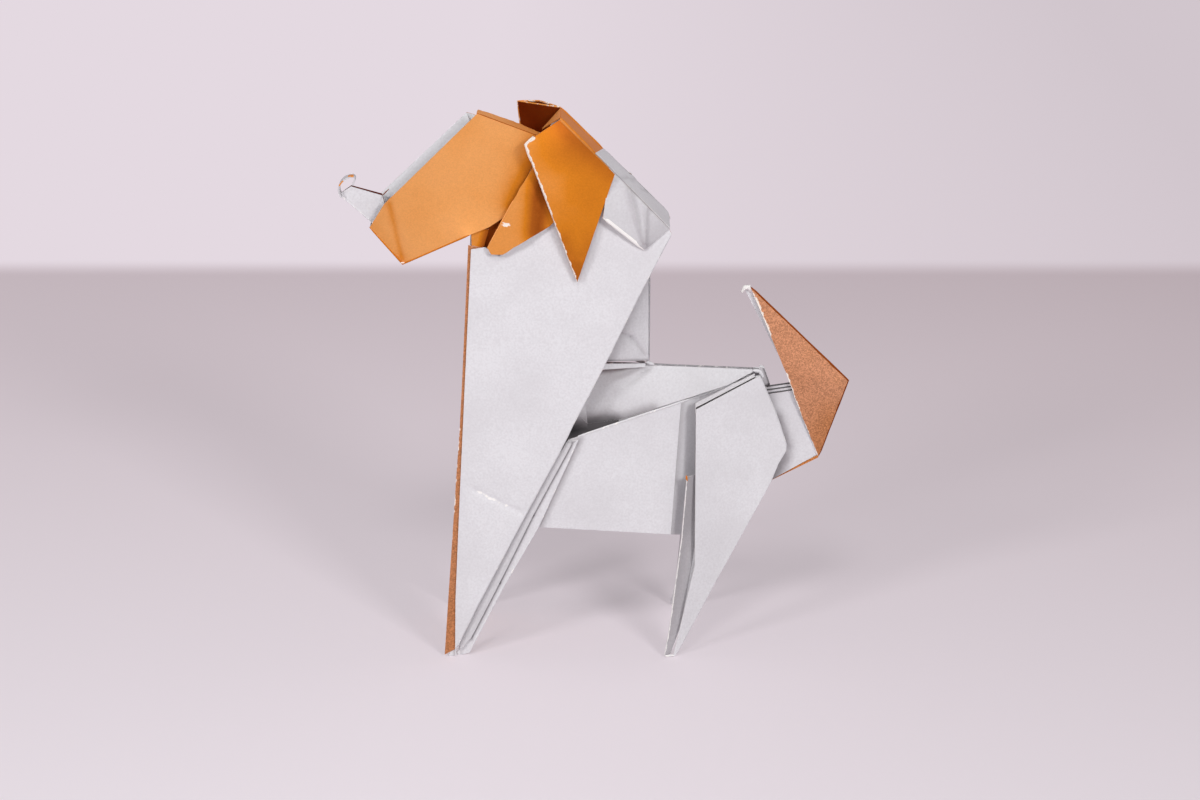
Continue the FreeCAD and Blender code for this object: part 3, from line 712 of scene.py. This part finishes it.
def foldHead(side):
    outward = at(0, side, 0)
    shifts = head["farShifts"] if side > 0 else {}
    chin, end, lip, brow, jaw, poll = [
        mirrored(side, head[name], shifts.get(name, (0, 0, 0)))
        for name in ("chin", "muzzleEnd", "lip", "brow", "jaw", "poll")]
    curve = planeRun(brow, jaw, poll, head["jawCurve"])
    addPly([[poll, curve[-1], onCrest(side, 0.0, -0.5)]], outward, "copper",
           tone=head["jawTone"])
    crease = planeRun(chin, lip, brow, head["muzzleCrease"])
    # painted shade: the ear's shadow by the poll, and shade along the jaw, the muzzle crease and the
    # nose end
    tints = along([curve[-2] + at(1.0, 0, 0), poll], *head["pollShade"])
    tints += along([curve[2], curve[3]], *head["jawShade"])
    tints += along(crease, *head["muzzleShade"]) + along([end, chin], *head["endShade"])
    addPly([[chin, end, lip], [chin, lip, brow], [chin, brow, jaw], [brow, jaw] + curve + [poll]],
           outward, "copper", creases=along(crease, *head["muzzleForm"]),
           worn=along([end.lerp(chin, 0.9), chin.lerp(jaw, 0.04)], *head["chinWear"]),
           rim="copper", soften=head["soften"], tints=tints if side < 0 else ())
    if side > 0:
        # the far side is turned in a little, so its white face shows along the muzzle
        turned = Vector(head["stripTurn"])
        addPly([[lip, brow, brow + turned, lip + turned]], at(-1, -1, 1), back="copper", step=0.9)
    else:
        # its top edge is turned in, which hides the open trough; the turn is painted darker towards
        # its inner edge and its roll dark, painted shade
        tuck = at(0, *head["turnIn"])
        top = [brow.lerp(poll, share) + at(0, 0.05, 0.02) for share, width in head["turnStops"]]
        back = [p + tuck * width for p, (share, width) in zip(top, head["turnStops"])]
        addPly([top + back[::-1]], at(0, 0, 1), "copper", "copper", tone=head["turnTone"],
               step=0.6, rim="copper", ragged=0.3, tints=along(back[:1:-1], *head["turnShade"]))
        addRoll(top, head["turnRadius"], "copper", tone=2.0)
    # the fold's roll along the jaw is painted darker: painted shade
    addRoll([end, chin, jaw], head["foldRadius"], "copper", wear=0.05, tone=head["foldPaintedShade"])
    addRoll([mirrored(side, place, chin) for place in head["chinRoll"]], head["chinRadius"],
            "copper", wear=0.8)
    lit, dark = [[onSide(side, *place) for place in head[name]] for name in ("lit", "dark")]
    addPly([lit], outward, "copper", tone=head["litTone"],
           tints=along(lit[2:], *head["litShade"]))
    addPly([dark], outward, "copper", tone=head["darkPaintedShade"])


# Nose: the turned-up corner of the sheet, with its tip rolled over
nose = {
    "tip": (-17.3, 75.0), "keel": (-12.2, 70.3), "root": (-10.6, 0.32, 74.9),
    "top": (-15.4, 76.3), "farLift": 0.04, "innerPaintedShade": 3.0, "keelWear": (0.12, 1.0),
    "pinch": [(-10.7, 74.6), (-9.55, 75.8)], "pinchRadius": 0.09, "pinchPaintedShade": 2.8,
    # x, z and half width along the roll
    "curl": [(-16.9, 74.6, 0.9), (-17.35, 75.6, 1.0), (-17.2, 76.7, 1.0), (-16.5, 77.5, 0.95),
             (-15.6, 77.9, 0.85), (-14.8, 77.95, 0.7), (-14.75, 77.3, 0.55), (-15.15, 76.5, 0.4)],
    "curlPlies": 1.6, "curlPaintedShade": 0.4, "foldRadius": 0.12,
    # where its copper face shows: first and last row, sideways shift and swell
    "bare": [(9, 14, -0.5, -0.02), (17, 22, -0.4, 0.1)],
}


def foldNose(side):
    outward = at(0, side, 0)
    tip, keel, chin = levelRun([nose["tip"], nose["keel"], head["chin"][::2]])
    root = mirrored(side, nose["root"])
    top = onPlane(tip, keel, root, *nose["top"])
    lift = at(0, side * 0.1, nose["farLift"] if side > 0 else 0.0)
    # painted shade: the nose's inner copper face is painted near black
    addPly([[tip, keel, root + lift, top + lift]], outward, back="copper", step=0.8,
           worn=along([tip, keel], *nose["keelWear"]), backTone=nose["innerPaintedShade"], rim="white")
    addPly([[keel, chin, root]], outward, back="copper", backTone=nose["innerPaintedShade"])


def rollCurl(curl, shift, finish, swell):
    # the rolled-over tip, a ribbon with its width across the nose
    half = paperStock["thickness"] * nose["curlPlies"] / 2
    rows = []
    for k, (x, z, width) in enumerate(curl):
        nextX, nextZ, w = curl[min(k + 1, len(curl) - 1)]
        lastX, lastZ, w = curl[max(k - 1, 0)]
        normal = at(lastZ - nextZ, 0, nextX - lastX).normalized()
        rows.append([
            addPoint(at(x, y * width + shift, z) + normal * (gap + swell), unworn,
                     nose["curlPaintedShade"])
            for y, gap in ((-1, -half), (1, -half), (1, half), (-1, half))])
    for low, high in zip(rows, rows[1:]):
        for k in range(4):
            after = (k + 1) % 4
            addFace([low[k], high[k], high[after], low[after]], finish)
    addFace(rows[0], finish)
    addFace(rows[-1][::-1], finish)


def smoothCurl(curl, passes):
    # rounds the roll by cutting its corners
    for k in range(passes):
        finer = [curl[0]]
        for a, b in zip(curl, curl[1:]):
            for share in (0.75, 0.25):
                finer.append(tuple(share * p + (1 - share) * q for p, q in zip(a, b)))
        curl = finer + [curl[-1]]
    return curl


def foldNoseEdge():
    addRoll(levelRun([nose["tip"], nose["keel"]]), nose["foldRadius"], wear=0.3)
    # painted shade: the pinch is rolled dark
    addRoll(levelRun(nose["pinch"]), nose["pinchRadius"], "copper", tone=nose["pinchPaintedShade"])
    curl = smoothCurl(nose["curl"], 2)
    # the roll is painted a little grey: painted shade
    rollCurl(curl, 0.0, "white", 0.0)
    for first, last, shift, swell in nose["bare"]:
        rollCurl([(x, z, width / 2) for x, z, width in curl[first:last]], shift, "copper", swell)


# Cheek and collar: two flaps that hang from the edges of the crest
flaps = {
    "cheek": [(10.0, 75.2), (6.0, 67.9), (6.6, 66.95), (8.3, 66.8), (11.6, 68.9), (15.7, 71.2)],
    "cheekLift": 1.0, "cheekTone": 0.45, "cheekRadius": 0.12,
    "cheekBend": [(12.7, 76.8), (11.4, 67.6)], "bendForm": (0.45, 1.3),
    "cheekShaded": [(14.2, 77.5), (13.8, 70.5)], "cheekShade": (1.9, 1.9),
    "spot": (8.1, 71.7), "spotRun": (1.2, 0.0, -0.2), "spotWear": (0.6, 0.95),   # worn bare
    "collarFront": (24.0, 73.0), "collarBottom": (30.4, 67.5),
    "collarHeel": (31.2, 67.95, 1.5),      # x, z and layer
    "collarLift": 2.1, "collarHem": 0.8, "hingeLayer": 1.6, "collarPaintedShade": 0.35,
    "collarCreases": [[(28.0, 77.2), (30.2, 68.6)], [(30.7, 74.2), (30.55, 68.9)]],
    "creaseForms": [(0.5, 0.5), (0.42, 0.42)], "creaseShade": (0.2, 0.35),
    "heelShade": (0.3, 3.0),
    "hemRadius": 0.33,
}


def foldFlaps(side):
    outward = at(0, side, 0)
    pitch = paperStock["plyPitch"]
    start = onCrest(side, 0.0, 1)
    low = onSide(side, *flaps["cheek"][3], 1 + flaps["cheekLift"] / pitch)
    end = onCrest(side, chest["collarShare"], 1)
    corners, bend, shaded = [
        planeRun(start, low, end, places)
        for places in (flaps["cheek"], flaps["cheekBend"], flaps["cheekShaded"])]
    spot = onPlane(start, low, end, *flaps["spot"])
    corners = [start] + corners + [end]
    # painted shade: the ear's shadow darkens the cheek towards its back
    addPly([corners], outward, "copper", creases=along(bend, *flaps["bendForm"]),
           worn=along([spot, spot + Vector(flaps["spotRun"])], *flaps["spotWear"]),
           tone=flaps["cheekTone"], ragged=0.2, rim="copper",
           tints=along(shaded, *flaps["cheekShade"]))
    addRoll(corners[1:3], flaps["cheekRadius"], "copper", tone=0.2)
    front = onSide(side, *flaps["collarFront"], flaps["collarLift"] / pitch)
    bottom = onSide(side, *flaps["collarBottom"], flaps["collarHem"] / pitch)
    heel = onSide(side, *flaps["collarHeel"])
    hinge, crestEnd = [onCrest(side, share, flaps["hingeLayer"])
                       for share in (chest["collarShare"], 1.0)]
    creases, tints = [], []
    for places, form in zip(flaps["collarCreases"], flaps["creaseForms"]):
        line = planeRun(hinge, bottom, crestEnd, places)
        creases += along(line, *form)
        tints += along(line, *flaps["creaseShade"])
    # painted shade: the collar is greyed, darker along its creases and its heel
    addPly([[hinge, front, bottom], [hinge, bottom, heel, crestEnd]], outward, back="copper",
           creases=creases, step=1.0, tone=flaps["collarPaintedShade"],
           tints=tints + along([heel, crestEnd], *flaps["heelShade"]))
    inward = at(0, -side * flaps["hemRadius"] * 0.6, 0)
    addRoll([front + inward, bottom + inward], flaps["hemRadius"], wear=0.9)
    addRoll([bottom + inward * 0.5, heel], flaps["hemRadius"] * 0.4, wear=0.3)


# Ears: the near one hangs, the far one stands open at its top
ears = {
    "left": (12.0, 6.0, 84.5), "right": (25.8, 4.6, 79.5), "tip": (19.95, 6.2, 62.5),
    "tone": 1.0, "bulge": 0.4, "soften": 15,
    "tipCrease": [(19.1, 66.0), (21.3, 65.5)], "tipForm": (0.14, 0.5),
    "innerDrop": [0.45, 0.4, 0.0, 0.3],
    # tints and wear: from one corner towards another, between two shares of the way; the shades are
    # painted shade, and the one below zero painted light; the rubbed ones are wear
    "shades": [("top", "right", 0, 1, 0.6, 2.2), ("top", "tip", 0, 0.15, 0.4, 4.0),
               ("left", "tip", 0.7, 1, 0.5, 1.6), ("right", "tip", 0.6, 1, 0.35, 1.5),
               ("left", "tip", 0, 0.3, -0.4, 3.0)],
    "rubbed": [("shoulder", "left", 0, 1, 0.5, 1.0), ("left", "tip", 0, 0.45, 0.4, 0.85),
               ("left", "tip", 0.45, 1, 0.34, 0.6)],
    "edgeRadius": 0.21, "shoulderRadius": 0.26, "edgeTone": 0.6,
    "farLeft": (10.55, 5.5, 88.55), "farRight": (23.0, 4.2, 79.1), "farTip": (13.4, 6.2, 62.2),
    "farMouth": 1.8, "farInnerPaintedShade": 2.9, "farRadii": (0.11, 0.13),
}


def foldNearEar():
    side = -1
    outward = at(0, side, 0.2)
    top = onCrest(side, 0.0, 1.4) + at(-0.2, 0, -0.3)
    left, right, tip = [mirrored(side, ears[name]) for name in ("left", "right", "tip")]
    shoulder = left.lerp(top, 0.25) + at(0, -0.05, 0.25)
    crease = planeRun(top, right, tip, ears["tipCrease"])
    corners = {"top": top, "shoulder": shoulder, "left": left, "right": right, "tip": tip}
    tints, worn = [
        [(corners[a].lerp(corners[b], start), corners[a].lerp(corners[b], end), first, second)
         for a, b, start, end, first, second in ears[name]] for name in ("shades", "rubbed")]
    addPly([[top, shoulder, left, tip], [top, tip, right]], outward, "copper", worn=worn,
           creases=along(crease, *ears["tipForm"]), tone=ears["tone"], bulge=ears["bulge"],
           soften=ears["soften"], rim="copper", tints=tints)
    inner = [p + at(0, 0.45, -drop) for p, drop in zip((top, left, tip, right), ears["innerDrop"])]
    addPly([inner[:3], [inner[0], inner[2], inner[3]]], outward, back="copper", step=1.8)
    addRoll([left + at(0.1, 0.15, 0), tip + at(0, 0.15, 0.3)], ears["edgeRadius"], "copper",
            wear=0.78, tone=ears["edgeTone"])
    addRoll([shoulder + at(0, 0.15, 0), left + at(0.1, 0.1, 0), left.lerp(tip, 0.12)],
            ears["shoulderRadius"], "copper", wear=1.0, tone=ears["edgeTone"])


def foldFarEar():
    top = onCrest(1, 0.0, 2.2)
    left, right, tip = [Vector(ears[name]) for name in ("farLeft", "farRight", "farTip")]
    middle = (top + left) / 2 + at(0, ears["farMouth"], 0.1)
    # the far ear's inside is painted deep brown: painted shade
    for facets in ([[top, left, tip], [top, tip, right]], [[middle, left, tip], [top, middle, tip]]):
        addPly(facets, at(0, 1, 0.2), "copper", "copper", tone=ears["tone"],
               backTone=ears["farInnerPaintedShade"], rim="copper")
    for path, radius in zip(([tip, left, top], [left, middle, top]), ears["farRadii"]):
        addRoll(path, radius, "copper", wear=0.35, tone=0.5)


# Crest: the narrow band along the top of the neck, copper in front and white behind
crest = {
    "nearBoundary": 0.32, "farBoundary": 0.39, "browRun": 2.9, "browDrop": 2.6,
    "layer": 0.8, "copperTone": 0.7, "browTone": 0.3,
    "dents": [((0.55, -1), (0.62, 0.2), -0.2), ((0.68, 1), (0.63, -0.3), 0.2),
              ((0.8, 1), (0.74, 0.3), -0.16)],     # two points along and across, and the rise
    "dentWidth": 0.4, "dentShade": (0.4, 0.35),
    "nearRadius": 0.16, "farRadius": 0.24, "rollPaintedShades": {"copper": 1.0, "white": 1.1},
}


def foldCrest():
    up = at(0.5, 0, 1)
    layer = crest["layer"]
    near, far = [[onCrest(side, share, layer) for share in (0.0, crest[name], 1.0)]
                 for side, name in ((-1, "nearBoundary"), (1, "farBoundary"))]
    over = at(0.05, 0, 0.1)

    def onBand(share, across):
        return onCrest(-1, share, layer).lerp(onCrest(1, share, layer), (across + 1) / 2) + over

    addPly([[near[0], near[1], far[1], far[0]]], up, "copper", tone=crest["copperTone"],
           rim="copper")
    # painted shade along the dents
    dents = [(onBand(*a), onBand(*b), rise, crest["dentWidth"]) for a, b, rise in crest["dents"]]
    addPly([[p + over for p in (near[1], near[2], far[2], far[1])]], up, back="copper",
           creases=dents, tints=[(a, b, *crest["dentShade"]) for a, b, rise, width in dents])
    brow = at(stance["crestFront"] - crest["browRun"], 0, stance["crestHeight"] - crest["browDrop"])
    addPly([[near[0], far[0], brow]], at(-1, 0, 0.5), "copper", "copper", tone=crest["browTone"],
           step=0.8, rim="copper")
    # the rolls along the crest's edges are painted darker: painted shade
    for side, share, radius in ((-1, crest["nearBoundary"], crest["nearRadius"]),
                                (1, crest["farBoundary"], crest["farRadius"])):
        for finish, ends in (("copper", (0.0, share)), ("white", (share, 1.0))):
            addRoll([onCrest(side, s, 0.7) for s in ends], radius, finish,
                    tone=crest["rollPaintedShades"][finish])
    addRoll([onCrest(side, 1.0, 0.6) for side in (-1, 1)], crest["farRadius"])


for side in (-1, 1):
    for foldRegion in (foldChest, foldBody, foldFin, foldHindLeg, foldTail, foldHead, foldNose,
                       foldFlaps):
        foldRegion(side)
for foldRegion in (foldTailEdge, foldJaw, foldNoseEdge, foldNearEar, foldFarEar, foldCrest):
    foldRegion()
print("sheet folded:", len(sheetMesh["faces"]), "faces")


def linearColour(code):
    # sRGB hex to linear, with full alpha
    parts = [int(code[k:k + 2], 16) / 255 for k in (1, 3, 5)]
    return [p / 12.92 if p <= 0.04045 else ((p + 0.055) / 1.055) ** 2.4 for p in parts] + [1.0]


def perMetre(size):
    # pattern scale for a grain of so many millimetres
    return 1 / (size * millimetre)


def addNode(tree, kind, inputs=None, output=0, **settings):
    # one node with its settings, and its inputs from values or from other nodes' results
    node = tree.nodes.new("ShaderNode" + kind)
    for name, value in settings.items():
        setattr(node, name, value)
    for name, value in (inputs or {}).items():
        if isinstance(value, bpy.types.NodeSocket):
            tree.links.new(value, node.inputs[name])
        else:
            node.inputs[name].default_value = value
    return node.outputs[output] if len(node.outputs) else None


colourMix = {"data_type": "RGBA", "output": 2}     # settings of a Mix node that blends colours


def addRamp(tree, value, stops):
    # a run of colours over a value, from pairs of value and colour
    low, high = stops[0][0], stops[-1][0]
    share = addNode(tree, "MapRange", {"Value": value, "From Min": low, "From Max": high})
    colour = addNode(tree, "ValToRGB", {"Fac": share})
    elements = colour.node.color_ramp.elements
    for place, code in stops[1:-1]:
        elements.new((place - low) / (high - low))
    for stop, (place, code) in zip(elements, stops):
        stop.position = (place - low) / (high - low)
        stop.color = linearColour(code)
    return colour


def addSurface(mesh, name, makeShader):
    # a material whose shader is worked out from the place on the object
    material = bpy.data.materials.new(name)
    material.use_nodes = True
    tree = material.node_tree
    tree.nodes.clear()
    shader = makeShader(tree, addNode(tree, "TexCoord", output="Object"))
    addNode(tree, "OutputMaterial", {"Surface": shader})
    mesh.materials.append(material)


cracks = {"grain": 0.7, "spread": 1.9, "level": 0.42, "sharp": 0.12, "roughness": 0.8}


def showCore(tree, place, ink, core):
    # the bare pulp where the print has cracked off: near a worn fold, broken up by the grain
    worn = addNode(tree, "Attribute", output="Fac", attribute_name="wear")
    flecks = addNode(tree, "TexNoise", {
        "Vector": place, "Scale": perMetre(cracks["grain"]), "Detail": 3.0})
    spread = addNode(tree, "Math", {0: flecks, 1: -cracks["spread"], 2: cracks["spread"] / 2},
                     operation="MULTIPLY_ADD")
    both = addNode(tree, "Math", {0: worn, 1: spread}, operation="ADD")
    mask = addNode(tree, "MapRange", {
        "Value": both, "From Min": cracks["level"] - cracks["sharp"],
        "From Max": cracks["level"] + cracks["sharp"]})
    return mask, addNode(tree, "Mix", {0: mask, 6: ink, 7: linearColour(core)}, **colourMix)


pearl = {
    "colour": "#E1E0E3", "shade": "#D5D3D6", "core": "#F6F3F0",
    # painted shade: the greys that tone lays over the white, down to near black in the deepest folds
    # and slots
    "greys": [(0.0, "#FFFFFF"), (1.0, "#C9C6C7"), (2.0, "#7A7677"), (3.0, "#242122")],
    "mottle": 9.0, "fibre": 0.35, "blend": (0.12, 0.38), "toothHeight": 0.02, "tooth": 0.6,
    "roughness": 0.46, "ior": 1.5, "coat": 0.1, "coatRoughness": 0.35,
}


def pearlShader(tree, place):
    # coated paper printed with a pearl white ink: a soft satin with a cool tint and fine tooth
    mottle = addNode(tree, "TexNoise", {
        "Vector": place, "Scale": perMetre(pearl["mottle"]), "Detail": 4.0})
    fibre = addNode(tree, "TexNoise", {
        "Vector": place, "Scale": perMetre(pearl["fibre"]), "Detail": 2.0})
    blend = addNode(tree, "Math", {0: mottle, 1: fibre}, operation="MULTIPLY")
    tint = addNode(tree, "MapRange", {
        "Value": blend, "From Min": pearl["blend"][0], "From Max": pearl["blend"][1]})
    ink = addNode(tree, "Mix", {0: tint, 6: linearColour(pearl["shade"]),
                                7: linearColour(pearl["colour"])}, **colourMix)
    # painted shade: tone darkens the white through the greys
    tone = addNode(tree, "Attribute", output="Fac", attribute_name="tone")
    ink = addNode(tree, "Mix", {0: 1.0, 6: ink, 7: addRamp(tree, tone, pearl["greys"])},
                  blend_type="MULTIPLY", **colourMix)
    mask, colour = showCore(tree, place, ink, pearl["core"])
    rough = addNode(tree, "MapRange", {
        "Value": mask, "To Min": pearl["roughness"], "To Max": cracks["roughness"]})
    tooth = addNode(tree, "Bump", {
        "Height": fibre, "Distance": pearl["toothHeight"] * millimetre, "Strength": pearl["tooth"]})
    return addNode(tree, "BsdfPrincipled", {
        "Base Color": colour, "Roughness": rough, "Normal": tooth, "IOR": pearl["ior"],
        "Coat Weight": pearl["coat"], "Coat Roughness": pearl["coatRoughness"]})


copper = {
    # strip and hem, tail, head, ears: the one print painted as light and reflection show it on each
    # part, painted light; then shaded folds and deep folds, painted shade
    "tones": [(-2.4, "#B0703F"), (-1.2, "#C88D6A"), (0.0, "#EBA561"), (1.0, "#D27E22"),
              (1.9, "#A85A1C"), (3.0, "#6A2206")],
    "core": "#F3E9DF", "sheen": "#EE9A4C", "specular": 0.2,
    "blotch": 7.0, "blotchDepth": 0.7, "grit": 0.2, "toothHeight": 0.02, "tooth": 0.7,
    "flake": 0.17,               # drawn coarser than the real powder, so that it shows
    "calmGlint": 0.1, "tailGlint": 0.56, "glintTones": (-0.3, -1.0),
    "metallic": 0.35, "roughness": 0.45,
}


def copperShader(tree, place):
    # paper printed with a bronze powder ink: a warm metal sheen, with glints of the powder painted
    # into the colour as fine bright flakes
    tone = addNode(tree, "Attribute", output="Fac", attribute_name="tone")
    blotch = addNode(tree, "TexNoise", {
        "Vector": place, "Scale": perMetre(copper["blotch"]), "Detail": 3.0})
    shift = addNode(tree, "Math", {
        0: blotch, 1: copper["blotchDepth"], 2: -copper["blotchDepth"] / 2},
        operation="MULTIPLY_ADD")
    drift = addNode(tree, "Math", {0: tone, 1: shift}, operation="ADD")
    printed = addRamp(tree, drift, copper["tones"])
    # painted glints: flake cells lighten or darken the colour, most on the tail
    flakes = addNode(tree, "TexVoronoi", {"Vector": place, "Scale": perMetre(copper["flake"])},
                     output="Color")
    flakeValue = addNode(tree, "SeparateColor", {"Color": flakes})
    centred = addNode(tree, "Math", {0: flakeValue, 1: 0.5}, operation="SUBTRACT")
    calmTone, tailTone = copper["glintTones"]
    swing = addNode(tree, "MapRange", {
        "Value": tone, "From Min": tailTone, "From Max": calmTone,
        "To Min": copper["tailGlint"], "To Max": copper["calmGlint"]})
    glint = addNode(tree, "Math", {0: centred, 1: swing, 2: 1.0}, operation="MULTIPLY_ADD")
    ink = addNode(tree, "Mix", {0: 1.0, 6: printed, 7: glint}, blend_type="MULTIPLY", **colourMix)
    mask, colour = showCore(tree, place, ink, copper["core"])
    metal = addNode(tree, "MapRange", {
        "Value": mask, "To Min": copper["metallic"], "To Max": 0.0})
    rough = addNode(tree, "MapRange", {
        "Value": mask, "To Min": copper["roughness"], "To Max": cracks["roughness"]})
    grit = addNode(tree, "TexNoise", {
        "Vector": place, "Scale": perMetre(copper["grit"]), "Detail": 2.0})
    tooth = addNode(tree, "Bump", {
        "Height": grit, "Distance": copper["toothHeight"] * millimetre,
        "Strength": copper["tooth"]})
    return addNode(tree, "BsdfPrincipled", {
        "Base Color": colour, "Metallic": metal, "Roughness": rough, "Normal": tooth,
        "Specular IOR Level": copper["specular"], "Specular Tint": linearColour(copper["sheen"])})


pulp = {"dark": "#D8D3D2", "pale": "#F4F1F0", "grain": 0.6, "roughness": 0.85}


def edgeShader(tree, place):
    # the cut edge of the sheet: bare matt pulp, a little warmer than the print
    fibres = addNode(tree, "TexNoise", {
        "Vector": place, "Scale": perMetre(pulp["grain"]), "Detail": 3.0})
    colour = addNode(tree, "Mix", {
        0: fibres, 6: linearColour(pulp["dark"]), 7: linearColour(pulp["pale"])}, **colourMix)
    return addNode(tree, "BsdfPrincipled", {"Base Color": colour, "Roughness": pulp["roughness"]})


def addToScene(name, data):
    item = bpy.data.objects.new(name, data)
    bpy.context.scene.collection.objects.link(item)
    return item


def makeSheet():
    shift = at(nodeLow.x / millimetre + stance["noseReach"], 0, nodeLow.z / millimetre)
    mesh = bpy.data.meshes.new("foldedPaper")
    mesh.from_pydata([(p + shift) * millimetre for p in sheetMesh["points"]], [],
                     sheetMesh["faces"])
    # wear is the real wear; tone carries the painted light and shade
    for name in ("wear", "tone"):
        layer = mesh.attributes.new(name, "FLOAT", "POINT")
        layer.data.foreach_set("value", sheetMesh[name])
    addSurface(mesh, "pearlPrintedPaper", pearlShader)
    addSurface(mesh, "bronzePowderPrintedPaper", copperShader)
    addSurface(mesh, "cutPaperEdge", edgeShader)
    mesh.polygons.foreach_set("material_index", sheetMesh["finish"])
    mesh.shade_smooth()
    mesh.set_sharp_from_angle(angle=math.radians(meshing["sharpAngle"]))
    mesh.update()
    piece = addToScene("foldedPaper", mesh)
    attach(piece, "root")
    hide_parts("folded_sheet")


makeSheet()
print("paper made")

studio = {
    # the table is painted darker from near to back, and shade and dim are to the right, where less
    # light falls: painted falloff of the light
    "colours": {"near": "#F3EAF1", "back": "#DFD0D7", "board": "#E4D9E1", "shade": "#D1C6CD",
                "dim": "#6B4640", "world": "#F5F3F4"},
    "nearEdge": -60.0, "tableEdge": 202.0, "edgeBlend": 7.0,
    "dimStart": -32.0, "dimEnd": 160.0, "dimShare": 0.14,
    "tableSize": 6.0,            # in metres
    "roughness": 0.9, "specular": 0.2,
    "ownLight": 0.415,           # so much of the table's colour comes from itself, free of shadow
    # each lamp's turn and rise in degrees, and its level
    "lamps": {"rightSoftBox": (33.0, 28.0, 0.38), "leftSoftBox": (-46.0, 28.0, 0.30),
              "frontSoftBox": (-5.0, 54.0, 0.22)},
    "lampSize": 0.19, "lampDistance": 0.9,       # in metres
    "worldLevel": 0.235,
}
colours = {name: linearColour(code) for name, code in studio["colours"].items()}


def addSeen(tree):
    # 1 for what the camera sees straight or in a gloss
    rays = addNode(tree, "LightPath").node.outputs
    return addNode(tree, "Math", {0: rays["Is Camera Ray"], 1: rays["Is Glossy Ray"]},
                   operation="MAXIMUM")


def tableShader(tree, place):
    # a plain matt table that ends at a paler board, the same on all four sides
    parts = addNode(tree, "SeparateXYZ", {"Vector": place}).node.outputs
    toBack = addNode(tree, "MapRange", {
        "Value": parts["Y"], "From Min": studio["nearEdge"] * millimetre,
        "From Max": studio["tableEdge"] * millimetre})
    table = addNode(tree, "Mix", {0: toBack, 6: colours["near"], 7: colours["back"]}, **colourMix)
    sideways = addNode(tree, "MapRange", {
        "Value": parts["X"], "From Min": studio["dimStart"] * millimetre,
        "From Max": studio["dimEnd"] * millimetre})
    dim = addNode(tree, "Math", {0: sideways, 1: studio["dimShare"]}, operation="MULTIPLY")
    table = addNode(tree, "Mix", {0: dim, 6: table, 7: colours["dim"]}, **colourMix)
    board = addNode(tree, "Mix", {0: sideways, 6: colours["board"], 7: colours["shade"]},
                    **colourMix)
    away = [addNode(tree, "Math", {0: parts[axis]}, operation="ABSOLUTE") for axis in ("X", "Y")]
    furthest = addNode(tree, "Math", {0: away[0], 1: away[1]}, operation="MAXIMUM")
    beyond = addNode(tree, "MapRange", {
        "Value": furthest, "From Min": (studio["tableEdge"] - studio["edgeBlend"]) * millimetre,
        "From Max": (studio["tableEdge"] + studio["edgeBlend"]) * millimetre},
        interpolation_type="SMOOTHSTEP")
    colour = addNode(tree, "Mix", {0: beyond, 6: table, 7: board}, **colourMix)
    matt = addNode(tree, "BsdfPrincipled", {
        "Base Color": colour, "Roughness": studio["roughness"],
        "Specular IOR Level": studio["specular"]})
    glow = addNode(tree, "Emission", {"Color": colour, "Strength": 1.0})
    seen = addSeen(tree)
    own = addNode(tree, "MapRange", {"Value": beyond, "To Min": studio["ownLight"], "To Max": 1.0})
    share = addNode(tree, "Math", {0: seen, 1: own}, operation="MULTIPLY")
    return addNode(tree, "MixShader", {0: share, 1: matt, 2: glow})


def makeTable():
    mesh = bpy.data.meshes.new("table")
    half = studio["tableSize"] / 2
    z = cadLow.z
    mesh.from_pydata([(-half, -half, z), (half, -half, z), (half, half, z), (-half, half, z)], [],
                     [(0, 1, 2, 3)])
    addSurface(mesh, "mattTable", tableShader)
    addToScene("table", mesh)


def addLamp(name, turn, rise, level):
    # a soft box that gives a facing white surface so much of its own colour
    distance = studio["lampDistance"]
    light = bpy.data.lights.new(name, "AREA")
    light.size = studio["lampSize"]
    light.energy = level * math.pi ** 2 * distance ** 2
    lamp = addToScene(name, light)
    a, e = math.radians(turn), math.radians(rise)
    toLamp = Vector((math.sin(a) * math.cos(e), -math.cos(a) * math.cos(e), math.sin(e)))
    lamp.location = (cadLow + cadHigh) / 2 + toLamp * distance
    lamp.rotation_euler = toLamp.to_track_quat("Z", "Y").to_euler()


def makeWorld():
    world = bpy.data.worlds.new("studio")
    bpy.context.scene.world = world
    world.use_nodes = True
    tree = world.node_tree
    tree.nodes.clear()
    soft, pale = [
        addNode(tree, "Background", {"Color": colours[name], "Strength": strength})
        for name, strength in (("world", studio["worldLevel"]), ("board", 1.0))]
    both = addNode(tree, "MixShader", {0: addSeen(tree), 1: soft, 2: pale})
    addNode(tree, "OutputWorld", {"Surface": both})


makeTable()
for name, (turn, rise, level) in studio["lamps"].items():
    addLamp(name, turn, rise, level)
makeWorld()

view = {"elevation": 20.0, "distance": 450.0, "aim": (0.53, 0.0, 40.67), "lens": 84.0,
        "sensor": 36.0, "clipStart": 0.01}
cameraData = bpy.data.cameras.new("camera")
cameraData.lens = view["lens"]
cameraData.sensor_width = view["sensor"]
cameraData.clip_start = view["clipStart"]
camera = addToScene("camera", cameraData)
tilt = math.radians(view["elevation"])
back = Vector((0, -math.cos(tilt), math.sin(tilt)))
camera.location = (Vector(view["aim"]) + back * view["distance"]) * millimetre
camera.rotation_euler = (math.pi / 2 - tilt, 0, 0)
bpy.context.scene.camera = camera
bpy.context.scene.view_settings.view_transform = "Standard"
print("studio made")
